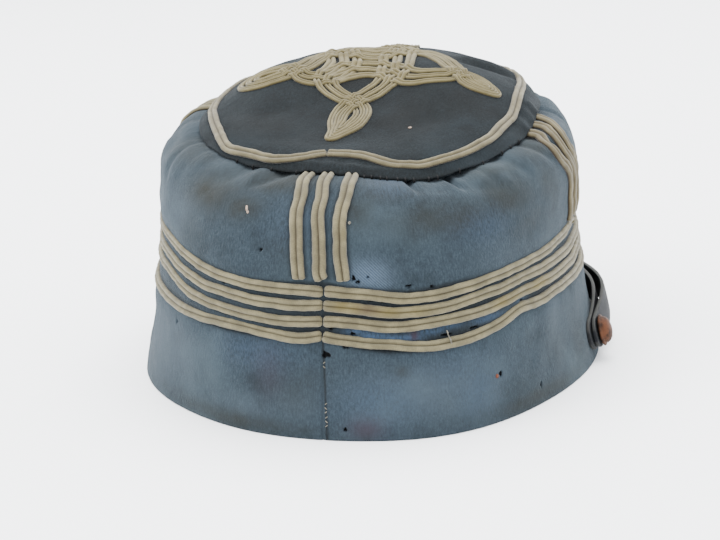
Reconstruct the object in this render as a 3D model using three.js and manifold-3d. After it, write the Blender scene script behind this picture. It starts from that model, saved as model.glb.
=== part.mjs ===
// A soft cloth kepi: band, gathered crown wall, domed crown disc, braid rows, Hungarian knot,
// leather peak, two-layer chin strap and domed buttons. Millimetres, +Z up, the peak toward -Y,
// the wearer's right toward -X. It stands on the rim of the band.
import * as THREE from 'three'
import Module from 'manifold-3d'
import { mergeVertices } from 'three/addons/utils/BufferGeometryUtils.js'

// Head opening at the rim
const RIM_HALF_WIDTH = 82
const RIM_REAR = 98
const RIM_FORE = 98.5
const RIM_SQUARENESS = 2.0

// Crown disc: the oval of its lip and the dome over it
const LIP_HALF_WIDTH = 58.5
const LIP_REAR = 66
const LIP_FORE = 66
const LIP_SQUARENESS = 2.4
const LIP_HEIGHT = 85.4
const LIP_LEAN = 2.6
const DOME_TOP = 105.8
const DOME_TOP_BACKSET = -17
const DISC_CLOTH = 1.8
const CROWN_TWIST = -6

// Cloth walls
const BAND_CLOTH = 2.0
const CROWN_CLOTH = 1.8
const SEAT_GAP = 0.3
const GATHER_DEPTH = 1.5
const DENT_DEPTH = 2.0

// Braids
const BRAID_WIDTH = 3.5
const BRAID_HEIGHT = 1.3
const BRAID_SEAT = 0.4
const LOW_ROW_HEIGHT = 32.4
const ROW_PITCH = 5.2
const ROW_LIFT = 9
const SEAM_SLIT = 0.8
const UPRIGHT_WIDTH = 4.2
const UPRIGHT_PITCH = 7.6
const RING_INSET = 5.2
const RING_WIDTH = 3.6

// Knot
const KNOT_REACH = 48
const KNOT_BUNDLE = 9
const KNOT_HEIGHT = 1.4
const KNOT_LEAF_HALF_WIDTH = 7.2
const KNOT_EYE = 1.4
const KNOT_BACKSET = 0.6
const KNOT_FACET = 10

// Peak
const PEAK_DEPTH = 46
const PEAK_LEATHER = 2.6
const PEAK_ROOT_HEIGHT = 3.6
const PEAK_HALF_SPREAD = 70

// Chin strap and buttons
const STRAP_WIDTH = 11
const STRAP_LEATHER = 1.4
const STRAP_PEAK_CLEARANCE = 2.2
const STRAP_END_CLEARANCE = 3.6
const STRAP_CLIMB_LENGTH = 22
const STRAP_BOW = 1.7
const STRAP_BOW_LENGTH = 20
const STRAP_END_LENGTH = 9
const STRAP_END_STEP = 2
const STRAP_END_BLUNTNESS = 0.3
const STRAP_LEFT_TURN = 6
const BUTTON_RADIUS = 5.6
const BUTTON_HEIGHT = 4.8

// Wall sections from the rim up to the tuck under the lip. height is a share of the lip's height,
// side, rear and fore are the shares of the way from the rim's oval in to the lip's oval, lean and
// lift are shares of the lip's lean and of its rise and fall round the cap, and under is the share
// of the disc's cloth that the wall has sunk below the lip.
const SECTIONS = [
  { level: 0.00, height: 0.000, side: 0.00, rear: 0.00, fore: 0.00, lean: 0.00, lift: 0.00, under: 0.0 },
  { level: 0.18, height: 0.180, side: 0.16, rear: 0.08, fore: 0.06, lean: 0.00, lift: 0.03, under: 0.0 },
  { level: 0.36, height: 0.375, side: 0.30, rear: 0.16, fore: 0.11, lean: 0.05, lift: 0.15, under: 0.0 },
  { level: 0.52, height: 0.565, side: 0.42, rear: 0.20, fore: 0.16, lean: 0.30, lift: 0.32, under: 0.0 },
  { level: 0.66, height: 0.735, side: 0.42, rear: 0.27, fore: 0.24, lean: 0.65, lift: 0.55, under: 0.0 },
  { level: 0.78, height: 0.870, side: 0.49, rear: 0.43, fore: 0.40, lean: 0.85, lift: 0.78, under: 0.2 },
  { level: 0.88, height: 0.968, side: 0.66, rear: 0.68, fore: 0.66, lean: 1.00, lift: 0.94, under: 0.7 },
  { level: 0.95, height: 1.000, side: 0.93, rear: 0.95, fore: 0.95, lean: 1.00, lift: 1.00, under: 1.2 },
  { level: 1.00, height: 0.998, side: 1.18, rear: 1.14, fore: 1.14, lean: 1.00, lift: 1.00, under: 1.2 },
]

// Rise and fall of the lip round the cap, in shares of its height; angle 0 is the back seam and
// 90 the wearer's right.
const LIP_RISE = [
  { angle: 0, rise: -0.075 },
  { angle: 28, rise: -0.092 },
  { angle: 55, rise: -0.040 },
  { angle: 90, rise: 0.010 },
  { angle: 135, rise: 0.048 },
  { angle: 180, rise: 0.020 },
  { angle: 225, rise: 0.045 },
  { angle: 270, rise: 0.053 },
  { angle: 315, rise: -0.020 },
]

// How the braid rows rise round the cap from the lowest row up, in shares of the row lift.
const ROW_RISE = [
  { angle: 0, low: 0.10, second: 0.02, third: -0.02, top: -0.07 },
  { angle: 6, low: -0.19, second: -0.02, third: -0.09, top: -0.20 },
  { angle: 13, low: -0.42, second: -0.19, third: -0.25, top: -0.39 },
  { angle: 20, low: -0.45, second: -0.20, third: -0.34, top: -0.48 },
  { angle: 28, low: -0.40, second: -0.16, third: -0.28, top: -0.39 },
  { angle: 40, low: -0.21, second: -0.08, third: -0.16, top: -0.28 },
  { angle: 55, low: 0.17, second: 0.05, third: -0.02, top: -0.14 },
  { angle: 90, low: 0.17, second: 0.20, third: 0.14, top: 0.14 },
  { angle: 180, low: 0.25, second: 0.45, third: 0.45, top: 0.45 },
  { angle: 270, low: 0.60, second: 1.05, third: 1.05, top: 1.05 },
  { angle: 305, low: 0.39, second: 0.72, third: 0.76, top: 0.81 },
  { angle: 318, low: 0.23, second: 0.34, third: 0.39, top: 0.40 },
  { angle: 330, low: 0.06, second: 0.11, third: 0.14, top: 0.14 },
  { angle: 340, low: 0.02, second: -0.01, third: 0.02, top: -0.05 },
  { angle: 350, low: -0.01, second: -0.08, third: -0.03, top: -0.09 },
]

// Dome of the crown disc, as shares of the way from the lip (0) up to the top (1), by the share of
// the way out from the top to the lip. The first row mirrors the third, so that the top is level.
const DOME = [
  { out: -0.20, rear: 0.87, side: 0.97, fore: 0.96 },
  { out: 0.00, rear: 1.00, side: 1.00, fore: 1.00 },
  { out: 0.20, rear: 0.87, side: 0.97, fore: 0.96 },
  { out: 0.45, rear: 0.54, side: 0.92, fore: 0.89 },
  { out: 0.70, rear: 0.26, side: 0.66, fore: 0.63 },
  { out: 0.88, rear: 0.16, side: 0.28, fore: 0.26 },
  { out: 1.00, rear: 0.00, side: 0.00, fore: 0.00 },
]

// Broad dents and bulges of the wall. spread is in degrees, band in shares of the level and depth
// in shares of the dent depth, inward when positive.
const DENTS = [
  { name: 'right_bulge', angle: 92, level: 0.72, spread: 34, band: 0.13, depth: -0.50 },
  { name: 'right_waist', angle: 88, level: 0.60, spread: 26, band: 0.10, depth: 0.30 },
  { name: 'left_shoulder', angle: 280, level: 0.80, spread: 32, band: 0.11, depth: -1.20 },
  { name: 'left_shoulder_fold', angle: 292, level: 0.86, spread: 9, band: 0.035, depth: 0.60 },
  { name: 'rear_right_flare', angle: 27, level: 0.10, spread: 22, band: 0.42, depth: -2.60 },
  { name: 'rear_left_hollow', angle: 322, level: 0.05, spread: 22, band: 0.40, depth: 1.00 },
]

// Gathers under the lip. spread is in degrees, reach in shares of the level below the lip.
const GATHERS = [
  { angle: 333, spread: 3.0, reach: 0.13, depth: 0.75 },
  { angle: 318, spread: 3.5, reach: 0.10, depth: 0.55 },
  { angle: 27, spread: 2.8, reach: 0.16, depth: 0.85 },
  { angle: 36, spread: 2.4, reach: 0.12, depth: 1.00 },
  { angle: 51, spread: 3.2, reach: 0.20, depth: 1.00 },
  { angle: 66, spread: 3.0, reach: 0.18, depth: 0.80 },
  { angle: 120, spread: 4.0, reach: 0.15, depth: 0.70 },
  { angle: 143, spread: 3.5, reach: 0.18, depth: 0.80 },
  { angle: 214, spread: 3.5, reach: 0.16, depth: 0.80 },
  { angle: 238, spread: 4.0, reach: 0.14, depth: 0.70 },
  { angle: 297, spread: 3.5, reach: 0.18, depth: 0.90 },
]

// Upright braids: foot and head are their places across each quarter in shares of their pitch.
const UPRIGHTS = [
  { place: 'back', angle: 0, foot: [-1.04, -0.10, 0.76], head: [-1.38, -0.50, 0.62] },
  { place: 'right', angle: 84, foot: [-1.00, 0.00, 1.00], head: [-1.00, 0.00, 1.00] },
  { place: 'front', angle: 180, foot: [-1.00, 0.00, 1.00], head: [-1.00, 0.00, 1.00] },
  { place: 'left', angle: 264, foot: [-1.00, 0.00, 1.00], head: [-1.00, 0.00, 1.00] },
]

// Knot on the crown disc: the tips of its four lobes, and the corners where the arms of each lobe
// and the next one cross, as shares of the knot's reach from its middle.
const KNOT_TIPS = [
  { lobe: 'rear', across: 0.135, back: 0.990 },
  { lobe: 'left', across: 0.930, back: 0.200 },
  { lobe: 'fore', across: -0.190, back: -0.880 },
  { lobe: 'right', across: -1.000, back: 0.260 },
]
const KNOT_CORNERS = [
  { after: 'rear', across: 0.350, back: 0.300 },
  { after: 'left', across: 0.250, back: -0.270 },
  { after: 'fore', across: -0.330, back: -0.250 },
  { after: 'right', across: -0.310, back: 0.220 },
]

// Places along a lobe in shares of the way out to its tip: where its arms part and where its eye
// is. The waist is how far the inner arms stay out from the middle, in shares of their corners.
const KNOT_NECK = 0.47
const KNOT_EYE_ALONG = 0.7
const KNOT_WAIST = 0.4

// A lobe's half width in shares of the leaf's half width, by the share of the way out to its tip.
const KNOT_LEAF = [
  { along: 0.43, half: 0.55 },
  { along: 0.52, half: 0.90 },
  { along: 0.62, half: 1.00 },
  { along: 0.75, half: 0.86 },
  { along: 0.89, half: 0.50 },
  { along: 1.00, half: 0.06 },
]

const DEGREE = Math.PI / 180
const LAP = 360
const QUARTER = LAP / 4

// Levels of the wall: below the shoulder each height has one level, the upright braids end at
// their head, and the wall meets the lip's edge at the lip.
const SHOULDER_LEVEL = 0.88
const HEAD_LEVEL = 0.945
const LIP_LEVEL = 0.95

const mix = (from, to, share) => from + (to - from) * share
const clamp01 = (value) => Math.min(1, Math.max(0, value))
const ease = (value) => clamp01(value) ** 2 * (3 - 2 * clamp01(value))
const signedPower = (value, power) => Math.sign(value) * Math.abs(value) ** power
const turned = (angle, from) => ((angle - from + LAP * 1.5) % LAP + LAP) % LAP - LAP / 2

// A smooth curve through one column of a table. With a lap it runs round and meets itself.
function curve(table, key, column, lap = 0) {
  const knots = table.map((row) => ({ at: row[key], value: row[column] }))
  if (lap) {
    const last = knots[knots.length - 1]
    const second = knots[knots.length - 2]
    const first = knots[0]
    const next = knots[1]
    knots.unshift({ at: second.at - lap, value: second.value }, { at: last.at - lap, value: last.value })
    knots.push({ at: first.at + lap, value: first.value }, { at: next.at + lap, value: next.value })
  }
  const slope = (i) => {
    const before = knots[Math.max(0, i - 1)]
    const after = knots[Math.min(knots.length - 1, i + 1)]
    return (after.value - before.value) / (after.at - before.at)
  }
  return (where) => {
    const at = lap ? ((where % lap) + lap) % lap : where
    let i = knots.length - 2
    while (i > 0 && knots[i].at > at) i -= 1
    const span = knots[i + 1].at - knots[i].at
    const t = clamp01((at - knots[i].at) / span)
    const rise = knots[i + 1].value - knots[i].value
    const start = slope(i) * span
    const end = slope(i + 1) * span
    const bend = (start + end - 2 * rise) * t ** 3 + (3 * rise - 2 * start - end) * t ** 2
    return knots[i].value + start * t + bend
  }
}

// The argument between two bounds where a rising function reaches a value.
function solve(rising, goal, low, high) {
  for (let step = 0; step < 30; step += 1) {
    const middle = (low + high) / 2
    if (rising(middle) < goal) low = middle
    else high = middle
  }
  return (low + high) / 2
}

const lipRise = curve(LIP_RISE, 'angle', 'rise', LAP)
const rowRise = ['low', 'second', 'third', 'top'].map((row) => curve(ROW_RISE, 'angle', row, LAP))
const section = Object.fromEntries(
  ['height', 'side', 'rear', 'fore', 'lean', 'lift', 'under']
    .map((column) => [column, curve(SECTIONS, 'level', column)]),
)
const dome = Object.fromEntries(
  ['rear', 'side', 'fore'].map((column) => [column, curve(DOME, 'out', column)]),
)

// A point on an oval whose rear and fore halves have their own lengths.
function oval(angle, halfWidth, rear, fore, squareness) {
  const across = Math.sin(angle * DEGREE)
  const back = Math.cos(angle * DEGREE)
  const power = 2 / squareness
  return new THREE.Vector2(
    -halfWidth * signedPower(across, power),
    (back > 0 ? rear : fore) * signedPower(back, power),
  )
}

const lipHeight = (angle) => LIP_HEIGHT * (1 + lipRise(angle))

// The outer face of the wall without its dents.
function plainWall(angle, level) {
  const side = section.side(level)
  const plan = oval(
    angle,
    mix(RIM_HALF_WIDTH, LIP_HALF_WIDTH, side),
    mix(RIM_REAR, LIP_REAR, section.rear(level)),
    mix(RIM_FORE, LIP_FORE, section.fore(level)),
    mix(RIM_SQUARENESS, LIP_SQUARENESS, clamp01(side)),
  )
  const height = LIP_HEIGHT * (section.height(level) + section.lift(level) * lipRise(angle))
  const under = section.under(level) * (DISC_CLOTH + SEAT_GAP)
  return new THREE.Vector3(plan.x - LIP_LEAN * section.lean(level), plan.y, height - under)
}

// The outward direction of a surface given as a function of two numbers.
function facing(surface, u, v, du, dv) {
  const alongU = surface(u + du, v).sub(surface(u - du, v))
  const alongV = surface(u, v + dv).sub(surface(u, v - dv))
  return alongU.cross(alongV).normalize()
}

const wallFacing = (angle, level) => facing(plainWall, angle, Math.min(level, 0.99), 1, 0.01)

// 0 beside the upright braids and 1 away from them, so that the cloth lies flat under the braids.
const farthestHead = Math.max(...UPRIGHTS.flatMap((row) => row.head.map(Math.abs)))
const flatSpread = (farthestHead * UPRIGHT_PITCH + UPRIGHT_WIDTH / 2) / LIP_REAR / DEGREE

function clearOfUprights(angle) {
  const off = Math.min(...UPRIGHTS.map((row) => Math.abs(turned(angle, row.angle))))
  return ease(2 * (off / flatSpread - 1))
}

function dentDepth(angle, level) {
  let depth = 0
  for (const dent of DENTS) {
    const aside = turned(angle, dent.angle) / dent.spread
    const away = (level - dent.level) / dent.band
    depth += dent.depth * DENT_DEPTH * Math.exp(-(aside ** 2) - away ** 2)
  }
  return depth
}

function gatherDepth(angle, level) {
  let depth = 0
  for (const gather of GATHERS) {
    const aside = turned(angle, gather.angle) / gather.spread
    const reach = ease(1 - (LIP_LEVEL - level) / gather.reach)
    depth += gather.depth * GATHER_DEPTH * reach * Math.exp(-(aside ** 2))
  }
  return depth * clearOfUprights(angle)
}

// The outer face of the wall, or a face beside it at a distance out from it.
function wall(angle, level, out = 0) {
  const outward = wallFacing(angle, level)
  const dented = outward.clone().setZ(outward.z * ease(level * 3)).normalize()
  return plainWall(angle, level)
    .addScaledVector(outward, out - gatherDepth(angle, level))
    .addScaledVector(dented, -dentDepth(angle, level))
}

// The inner face of the wall. Its cloth is measured level where lean is 0, so that a cut edge lies
// level, and square to the wall where lean is 1.
function innerWall(angle, level, cloth, lean) {
  const outward = wallFacing(angle, level)
  outward.setZ(outward.z * lean).normalize()
  return wall(angle, level).addScaledVector(outward, -cloth)
}

// The level at which the wall reaches a height.
const levelAt = (angle, height) => (
  solve((level) => plainWall(angle, level).z, height, 0, SHOULDER_LEVEL)
)

// The crown disc's upper face: out is 0 at the dome's top and 1 at the lip.
const domeCentre = new THREE.Vector2(-LIP_LEAN, DOME_TOP_BACKSET)

function disc(angle, out) {
  const lip = oval(angle, LIP_HALF_WIDTH, LIP_REAR, LIP_FORE, LIP_SQUARENESS)
  lip.x -= LIP_LEAN
  const plan = domeCentre.clone().lerp(lip, out)
  const back = Math.cos(angle * DEGREE)
  const end = back > 0 ? dome.rear(out) : dome.fore(out)
  const share = mix(dome.side(out), end, back ** 2)
  return new THREE.Vector3(plan.x, plan.y, mix(lipHeight(angle), DOME_TOP, share))
}

// The crown disc's upper face over a point of the plan, and the direction that it faces there.
function discOver(x, y) {
  const spot = (out) => {
    const lip = new THREE.Vector2(x, y).sub(domeCentre).divideScalar(out).add(domeCentre)
    const across = -(lip.x + LIP_LEAN) / LIP_HALF_WIDTH
    const back = lip.y / (lip.y > 0 ? LIP_REAR : LIP_FORE)
    return { across, back }
  }
  const reach = (out) => {
    const { across, back } = spot(out)
    return -(Math.abs(across) ** LIP_SQUARENESS + Math.abs(back) ** LIP_SQUARENESS)
  }
  const out = solve(reach, -1, 0.001, 1.2)
  const { across, back } = spot(out)
  const power = LIP_SQUARENESS / 2
  const angle = Math.atan2(signedPower(across, power), signedPower(back, power)) / DEGREE
  return new THREE.Vector3(x, y, disc(angle, out).z)
}

const discFacing = (x, y) => facing(discOver, x, y, 1, 1)

// A closed body skinned over rings of points. Each ring runs round the body; the last ring joins
// the first when looped, and otherwise both ends are closed from the ring's point number hub.
function skin(rings, { looped = false, hub = 0 } = {}) {
  const count = Math.max(rings[0].length, rings[1].length)
  const places = []
  const starts = rings.map((ring) => {
    const start = places.length / 3
    for (const point of ring) places.push(point.x, point.y, point.z)
    return start
  })
  const index = []
  const corner = (i, j) => starts[i] + (rings[i].length === 1 ? 0 : j % count)
  const joins = looped ? rings.length : rings.length - 1
  for (let i = 0; i < joins; i += 1) {
    const next = (i + 1) % rings.length
    for (let j = 0; j < count; j += 1) {
      if (rings[next].length > 1) index.push(corner(i, j), corner(next, j), corner(next, j + 1))
      if (rings[i].length > 1) index.push(corner(i, j), corner(next, j + 1), corner(i, j + 1))
    }
  }
  if (!looped) {
    for (const [end, flip] of [[0, false], [rings.length - 1, true]]) {
      if (rings[end].length === 1) continue
      for (let j = 1; j < count - 1; j += 1) {
        const fan = [corner(end, hub), corner(end, hub + j), corner(end, hub + j + 1)]
        index.push(...(flip ? fan.reverse() : fan))
      }
    }
  }
  const geometry = new THREE.BufferGeometry()
  geometry.setAttribute('position', new THREE.Float32BufferAttribute(places, 3))
  geometry.setIndex(index)
  return facingOut(geometry)
}

// Turns the faces of a closed body to face out.
function facingOut(geometry) {
  const place = geometry.getAttribute('position')
  const index = geometry.getIndex()
  const [a, b, c] = [new THREE.Vector3(), new THREE.Vector3(), new THREE.Vector3()]
  let volume = 0
  for (let i = 0; i < index.count; i += 3) {
    a.fromBufferAttribute(place, index.getX(i))
    b.fromBufferAttribute(place, index.getX(i + 1))
    c.fromBufferAttribute(place, index.getX(i + 2))
    volume += a.dot(b.cross(c))
  }
  if (volume < 0) index.array.reverse()
  geometry.computeVertexNormals()
  return geometry
}

const steps = (count, from, to) => Array.from({ length: count + 1 }, (_, i) => mix(from, to, i / count))
const lapSteps = (count) => steps(count, 0, LAP).slice(0, count)

const rowHeight = (angle, row) => LOW_ROW_HEIGHT + row * ROW_PITCH + ROW_LIFT * rowRise[row](angle)

// The level where the band ends and the crown wall starts, under the lowest braid row.
const joinLevel = (angle, side) => levelAt(angle, rowHeight(angle, 0) + side * SEAT_GAP / 2)

// Band: the lower wall, with its rim flat on the surface it stands on.
function bandShape() {
  const rings = lapSteps(84).map((angle) => {
    const join = joinLevel(angle, -1)
    const outer = steps(4, 0, join).map((level) => wall(angle, level))
    const inner = steps(2, join, 0).map((level) => innerWall(angle, level, BAND_CLOTH, 0))
    return [...outer, ...inner]
  })
  return skin(rings, { looped: true })
}

// Crown wall: the upper wall, bulged, gathered and tucked in under the lip of the disc.
function crownSideShape() {
  const outerShares = [0, 0.10, 0.20, 0.31, 0.44, 0.58, 0.72, 0.84, 0.93, 1]
  const innerShares = [1, 0.82, 0.50, 0]
  const rings = lapSteps(100).map((angle) => {
    const join = joinLevel(angle, 1)
    const outer = outerShares.map((share) => wall(angle, mix(join, 1, share)))
    const inner = innerShares
      .map((share) => innerWall(angle, mix(join, 1, share), CROWN_CLOTH, ease(share * 2)))
    return [...outer, ...inner]
  })
  return skin(rings, { looped: true })
}

// Crown disc: a domed sheet with a rounded lip.
function crownDiscShape() {
  const angles = lapSteps(56)
  const below = (point) => point.setZ(point.z - DISC_CLOTH)
  const ring = (out) => angles.map((angle) => disc(angle, out))
  const edge = angles.map((angle) => {
    const point = disc(angle, 1)
    const outward = oval(angle, 1, 1, 1, LIP_SQUARENESS).normalize()
    return point.add(new THREE.Vector3(outward.x, outward.y, -1).multiplyScalar(DISC_CLOTH / 2))
  })
  const upper = [0.16, 0.32, 0.47, 0.62, 0.75, 0.86, 0.94, 1].map(ring)
  const lower = [1, 0.75, 0.40].map((out) => ring(out).map(below))
  return skin([[disc(0, 0)], ...upper, edge, ...lower, [below(disc(0, 0))]])
}

// A two-rib braid laid along a path of points, each with the direction that its cloth faces.
function braidShape(path, width, height) {
  const profile = [[-0.5, 0], [-0.28, 1], [0, 0.45], [0.28, 1], [0.5, 0]]
  const rings = path.map(({ point, facing: up }, i) => {
    const before = path[Math.max(0, i - 1)].point
    const after = path[Math.min(path.length - 1, i + 1)].point
    const side = after.clone().sub(before).cross(up).normalize()
    return profile.map(([across, above]) => point.clone()
      .addScaledVector(side, across * width)
      .addScaledVector(up, BRAID_SEAT + above * height))
  })
  return skin(rings, { hub: 2 })
}

const onWall = (angle, level) => ({ point: wall(angle, level), facing: wallFacing(angle, level) })

function rowShape(row) {
  const slit = SEAM_SLIT / 2 / RIM_REAR / DEGREE
  const path = steps(54, slit, LAP - slit)
    .map((angle) => onWall(angle, levelAt(angle, rowHeight(angle, row))))
  return braidShape(path, BRAID_WIDTH, BRAID_HEIGHT)
}

// The angle that lies a distance along the wall from a quarter's middle.
function angleAside(quarter, level, distance) {
  const middle = plainWall(quarter, level)
  const along = (off) => plainWall(quarter + Math.sign(distance) * off, level).distanceTo(middle)
  return quarter + Math.sign(distance) * solve(along, Math.abs(distance), 0, QUARTER / 2)
}

function uprightShape(quarter, foot, head) {
  const topRow = rowRise.length - 1
  const start = rowHeight(quarter, topRow) + BRAID_WIDTH / 2 + SEAT_GAP * 2
  const path = steps(8, 0, 1).map((share) => {
    const level = mix(levelAt(quarter, start), HEAD_LEVEL, share)
    const aside = mix(foot, head, share ** 3) * UPRIGHT_PITCH
    return onWall(angleAside(quarter, level, aside), level)
  })
  return braidShape(path, UPRIGHT_WIDTH, BRAID_HEIGHT)
}

function ringBraidShape() {
  const slit = SEAM_SLIT / 2 / LIP_REAR / DEGREE
  const path = steps(48, CROWN_TWIST + slit, CROWN_TWIST + LAP - slit).map((angle) => {
    const lip = disc(angle, 1)
    const reach = Math.hypot(lip.x - domeCentre.x, lip.y - domeCentre.y)
    const point = disc(angle, 1 - RING_INSET / reach)
    return { point, facing: discFacing(point.x, point.y) }
  })
  return braidShape(path, RING_WIDTH, BRAID_HEIGHT)
}

// A flat plate, one unit thick, from an outline in the plan, as a solid that can be joined.
const solids = await Module()
solids.setup()

function plate(outline, hole) {
  const shape = new THREE.Shape(outline)
  if (hole) shape.holes.push(new THREE.Path(hole))
  const geometry = new THREE.ExtrudeGeometry(shape, { depth: 1, bevelEnabled: false })
  geometry.deleteAttribute('normal')
  geometry.deleteAttribute('uv')
  const merged = mergeVertices(geometry)
  return new solids.Manifold(new solids.Mesh({
    numProp: 3,
    vertProperties: new Float32Array(merged.getAttribute('position').array),
    triVerts: new Uint32Array(merged.getIndex().array),
  }))
}

// The outline of a strip of one width along a line of points in the plan.
function stripOutline(line, width) {
  const sides = line.map((point, i) => {
    const before = line[Math.max(0, i - 1)]
    const after = line[Math.min(line.length - 1, i + 1)]
    const across = after.clone().sub(before).normalize().multiplyScalar(width / 2)
    across.set(-across.y, across.x)
    return [point.clone().add(across), point.clone().sub(across)]
  })
  return [...sides.map((pair) => pair[0]), ...sides.toReversed().map((pair) => pair[1])]
}

const roundOutline = (middle, radius, count) => lapSteps(count).map((angle) => (
  new THREE.Vector2(Math.cos(angle * DEGREE), Math.sin(angle * DEGREE))
    .multiplyScalar(radius)
    .add(middle)
))

// Splits the longest edges of a mesh until none is longer than a length, so that it can bend.
function splitLongEdges(points, triangles, longest) {
  const edgeLength = ([a, b]) => Math.hypot(...points[a].map((value, i) => value - points[b][i]))
  for (;;) {
    const edges = triangles.flatMap(([a, b, c]) => [[a, b], [b, c], [c, a]])
    const edge = edges.reduce((best, next) => (edgeLength(next) > edgeLength(best) ? next : best))
    if (edgeLength(edge) <= longest) return
    const middle = points.push(points[edge[0]].map((value, i) => (value + points[edge[1]][i]) / 2)) - 1
    for (const triangle of triangles.filter((corners) => edge.every((end) => corners.includes(end)))) {
      const halves = edge.map((end) => triangle.map((corner) => (corner === end ? middle : corner)))
      triangles.splice(triangles.indexOf(triangle), 1, ...halves)
    }
  }
}

// Crown knot: four leaf-shaped lobes joined by bundles of three braids that cross at four corners
// and draw in to a close weave in the middle.
function knotShape() {
  const middle = new THREE.Vector2(-LIP_LEAN, KNOT_BACKSET)
  const spot = (row) => new THREE.Vector2(row.across, row.back).multiplyScalar(KNOT_REACH)
  const tips = KNOT_TIPS.map(spot)
  const corners = KNOT_CORNERS.map(spot)
  const parts = []
  tips.forEach((tip, i) => {
    const aside = new THREE.Vector2(-tip.y, tip.x).normalize()
    const edge = (side) => KNOT_LEAF.map(({ along, half }) => tip.clone().multiplyScalar(along)
      .addScaledVector(aside, side * half * KNOT_LEAF_HALF_WIDTH))
    const eye = roundOutline(tip.clone().multiplyScalar(KNOT_EYE_ALONG), KNOT_EYE, 6)
    parts.push(plate([...edge(1), ...edge(-1).reverse()], eye))
    const neck = tip.clone().multiplyScalar(KNOT_NECK)
    const lastCorner = corners[(i + corners.length - 1) % corners.length]
    parts.push(plate(stripOutline([neck, corners[i]], KNOT_BUNDLE)))
    parts.push(plate(stripOutline([neck, lastCorner], KNOT_BUNDLE)))
    parts.push(plate(roundOutline(corners[i], KNOT_BUNDLE / 2, 10)))
    const waist = corners[i].clone().add(lastCorner).multiplyScalar(KNOT_WAIST / 2)
    const bend = new THREE.SplineCurve([corners[i], waist, lastCorner]).getPoints(6)
    parts.push(plate(stripOutline(bend, KNOT_BUNDLE)))
  })
  const joined = parts.reduce((whole, part) => whole.add(part)).getMesh()
  const points = []
  for (let i = 0; i < joined.vertProperties.length; i += 3) {
    points.push([...joined.vertProperties.slice(i, i + 3)])
  }
  const triangles = []
  for (let i = 0; i < joined.triVerts.length; i += 3) triangles.push([...joined.triVerts.slice(i, i + 3)])
  splitLongEdges(points, triangles, KNOT_FACET)
  const places = points.flatMap(([x, y, high]) => {
    const plan = middle.clone().add(new THREE.Vector2(x, y))
    const up = discFacing(plan.x, plan.y)
    return discOver(plan.x, plan.y).addScaledVector(up, BRAID_SEAT + high * KNOT_HEIGHT).toArray()
  })
  const geometry = new THREE.BufferGeometry()
  geometry.setAttribute('position', new THREE.Float32BufferAttribute(places, 3))
  geometry.setIndex(triangles.flat())
  return facingOut(geometry)
}

// Peak: a leather crescent from the foot of the band. Its edge droops no lower than just above the
// surface that the rim stands on. At its two corners it narrows to one thickness of leather.
function peakShape() {
  const corner = plainWall(2 * QUARTER - PEAK_HALF_SPREAD, 0)
  const depth = RIM_FORE + PEAK_DEPTH + corner.y
  const edgeHeight = 2 * SEAT_GAP
  const rings = steps(26, -1, 1).map((share) => {
    const angle = 2 * QUARTER + share * PEAK_HALF_SPREAD
    const sweep = share * QUARTER * DEGREE
    const outward = wallFacing(angle, 0).setZ(0).normalize()
    const root = wall(angle, 0).addScaledVector(outward, SEAT_GAP)
    const edge = new THREE.Vector3(-corner.x * Math.sin(sweep), corner.y - depth * Math.cos(sweep), 0)
    if (edge.distanceTo(root) < PEAK_LEATHER || Math.abs(share) === 1) {
      edge.copy(root).addScaledVector(outward, PEAK_LEATHER)
    }
    const edgeEase = Math.cos(sweep) ** 2
    const under = [0, 0.5, 1].map((out) => (
      root.clone().lerp(edge, out).setZ(mix(PEAK_ROOT_HEIGHT, edgeHeight, out * edgeEase))
    ))
    const over = under.toReversed().map((point) => point.clone().setZ(point.z + PEAK_LEATHER))
    return [...under, ...over]
  })
  return skin(rings)
}

// The buttons stand a quarter of a turn from the front, the left one somewhat nearer to it.
const rightButton = QUARTER + CROWN_TWIST
const leftButton = 3 * QUARTER + CROWN_TWIST - STRAP_LEFT_TURN

// Chin strap: height of its middle, and how far it stands off the band, round the cap.
const strapFrontHeight = PEAK_ROOT_HEIGHT + PEAK_LEATHER + STRAP_PEAK_CLEARANCE + STRAP_WIDTH / 2
const strapEndHeight = STRAP_END_CLEARANCE + STRAP_WIDTH / 2

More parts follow.
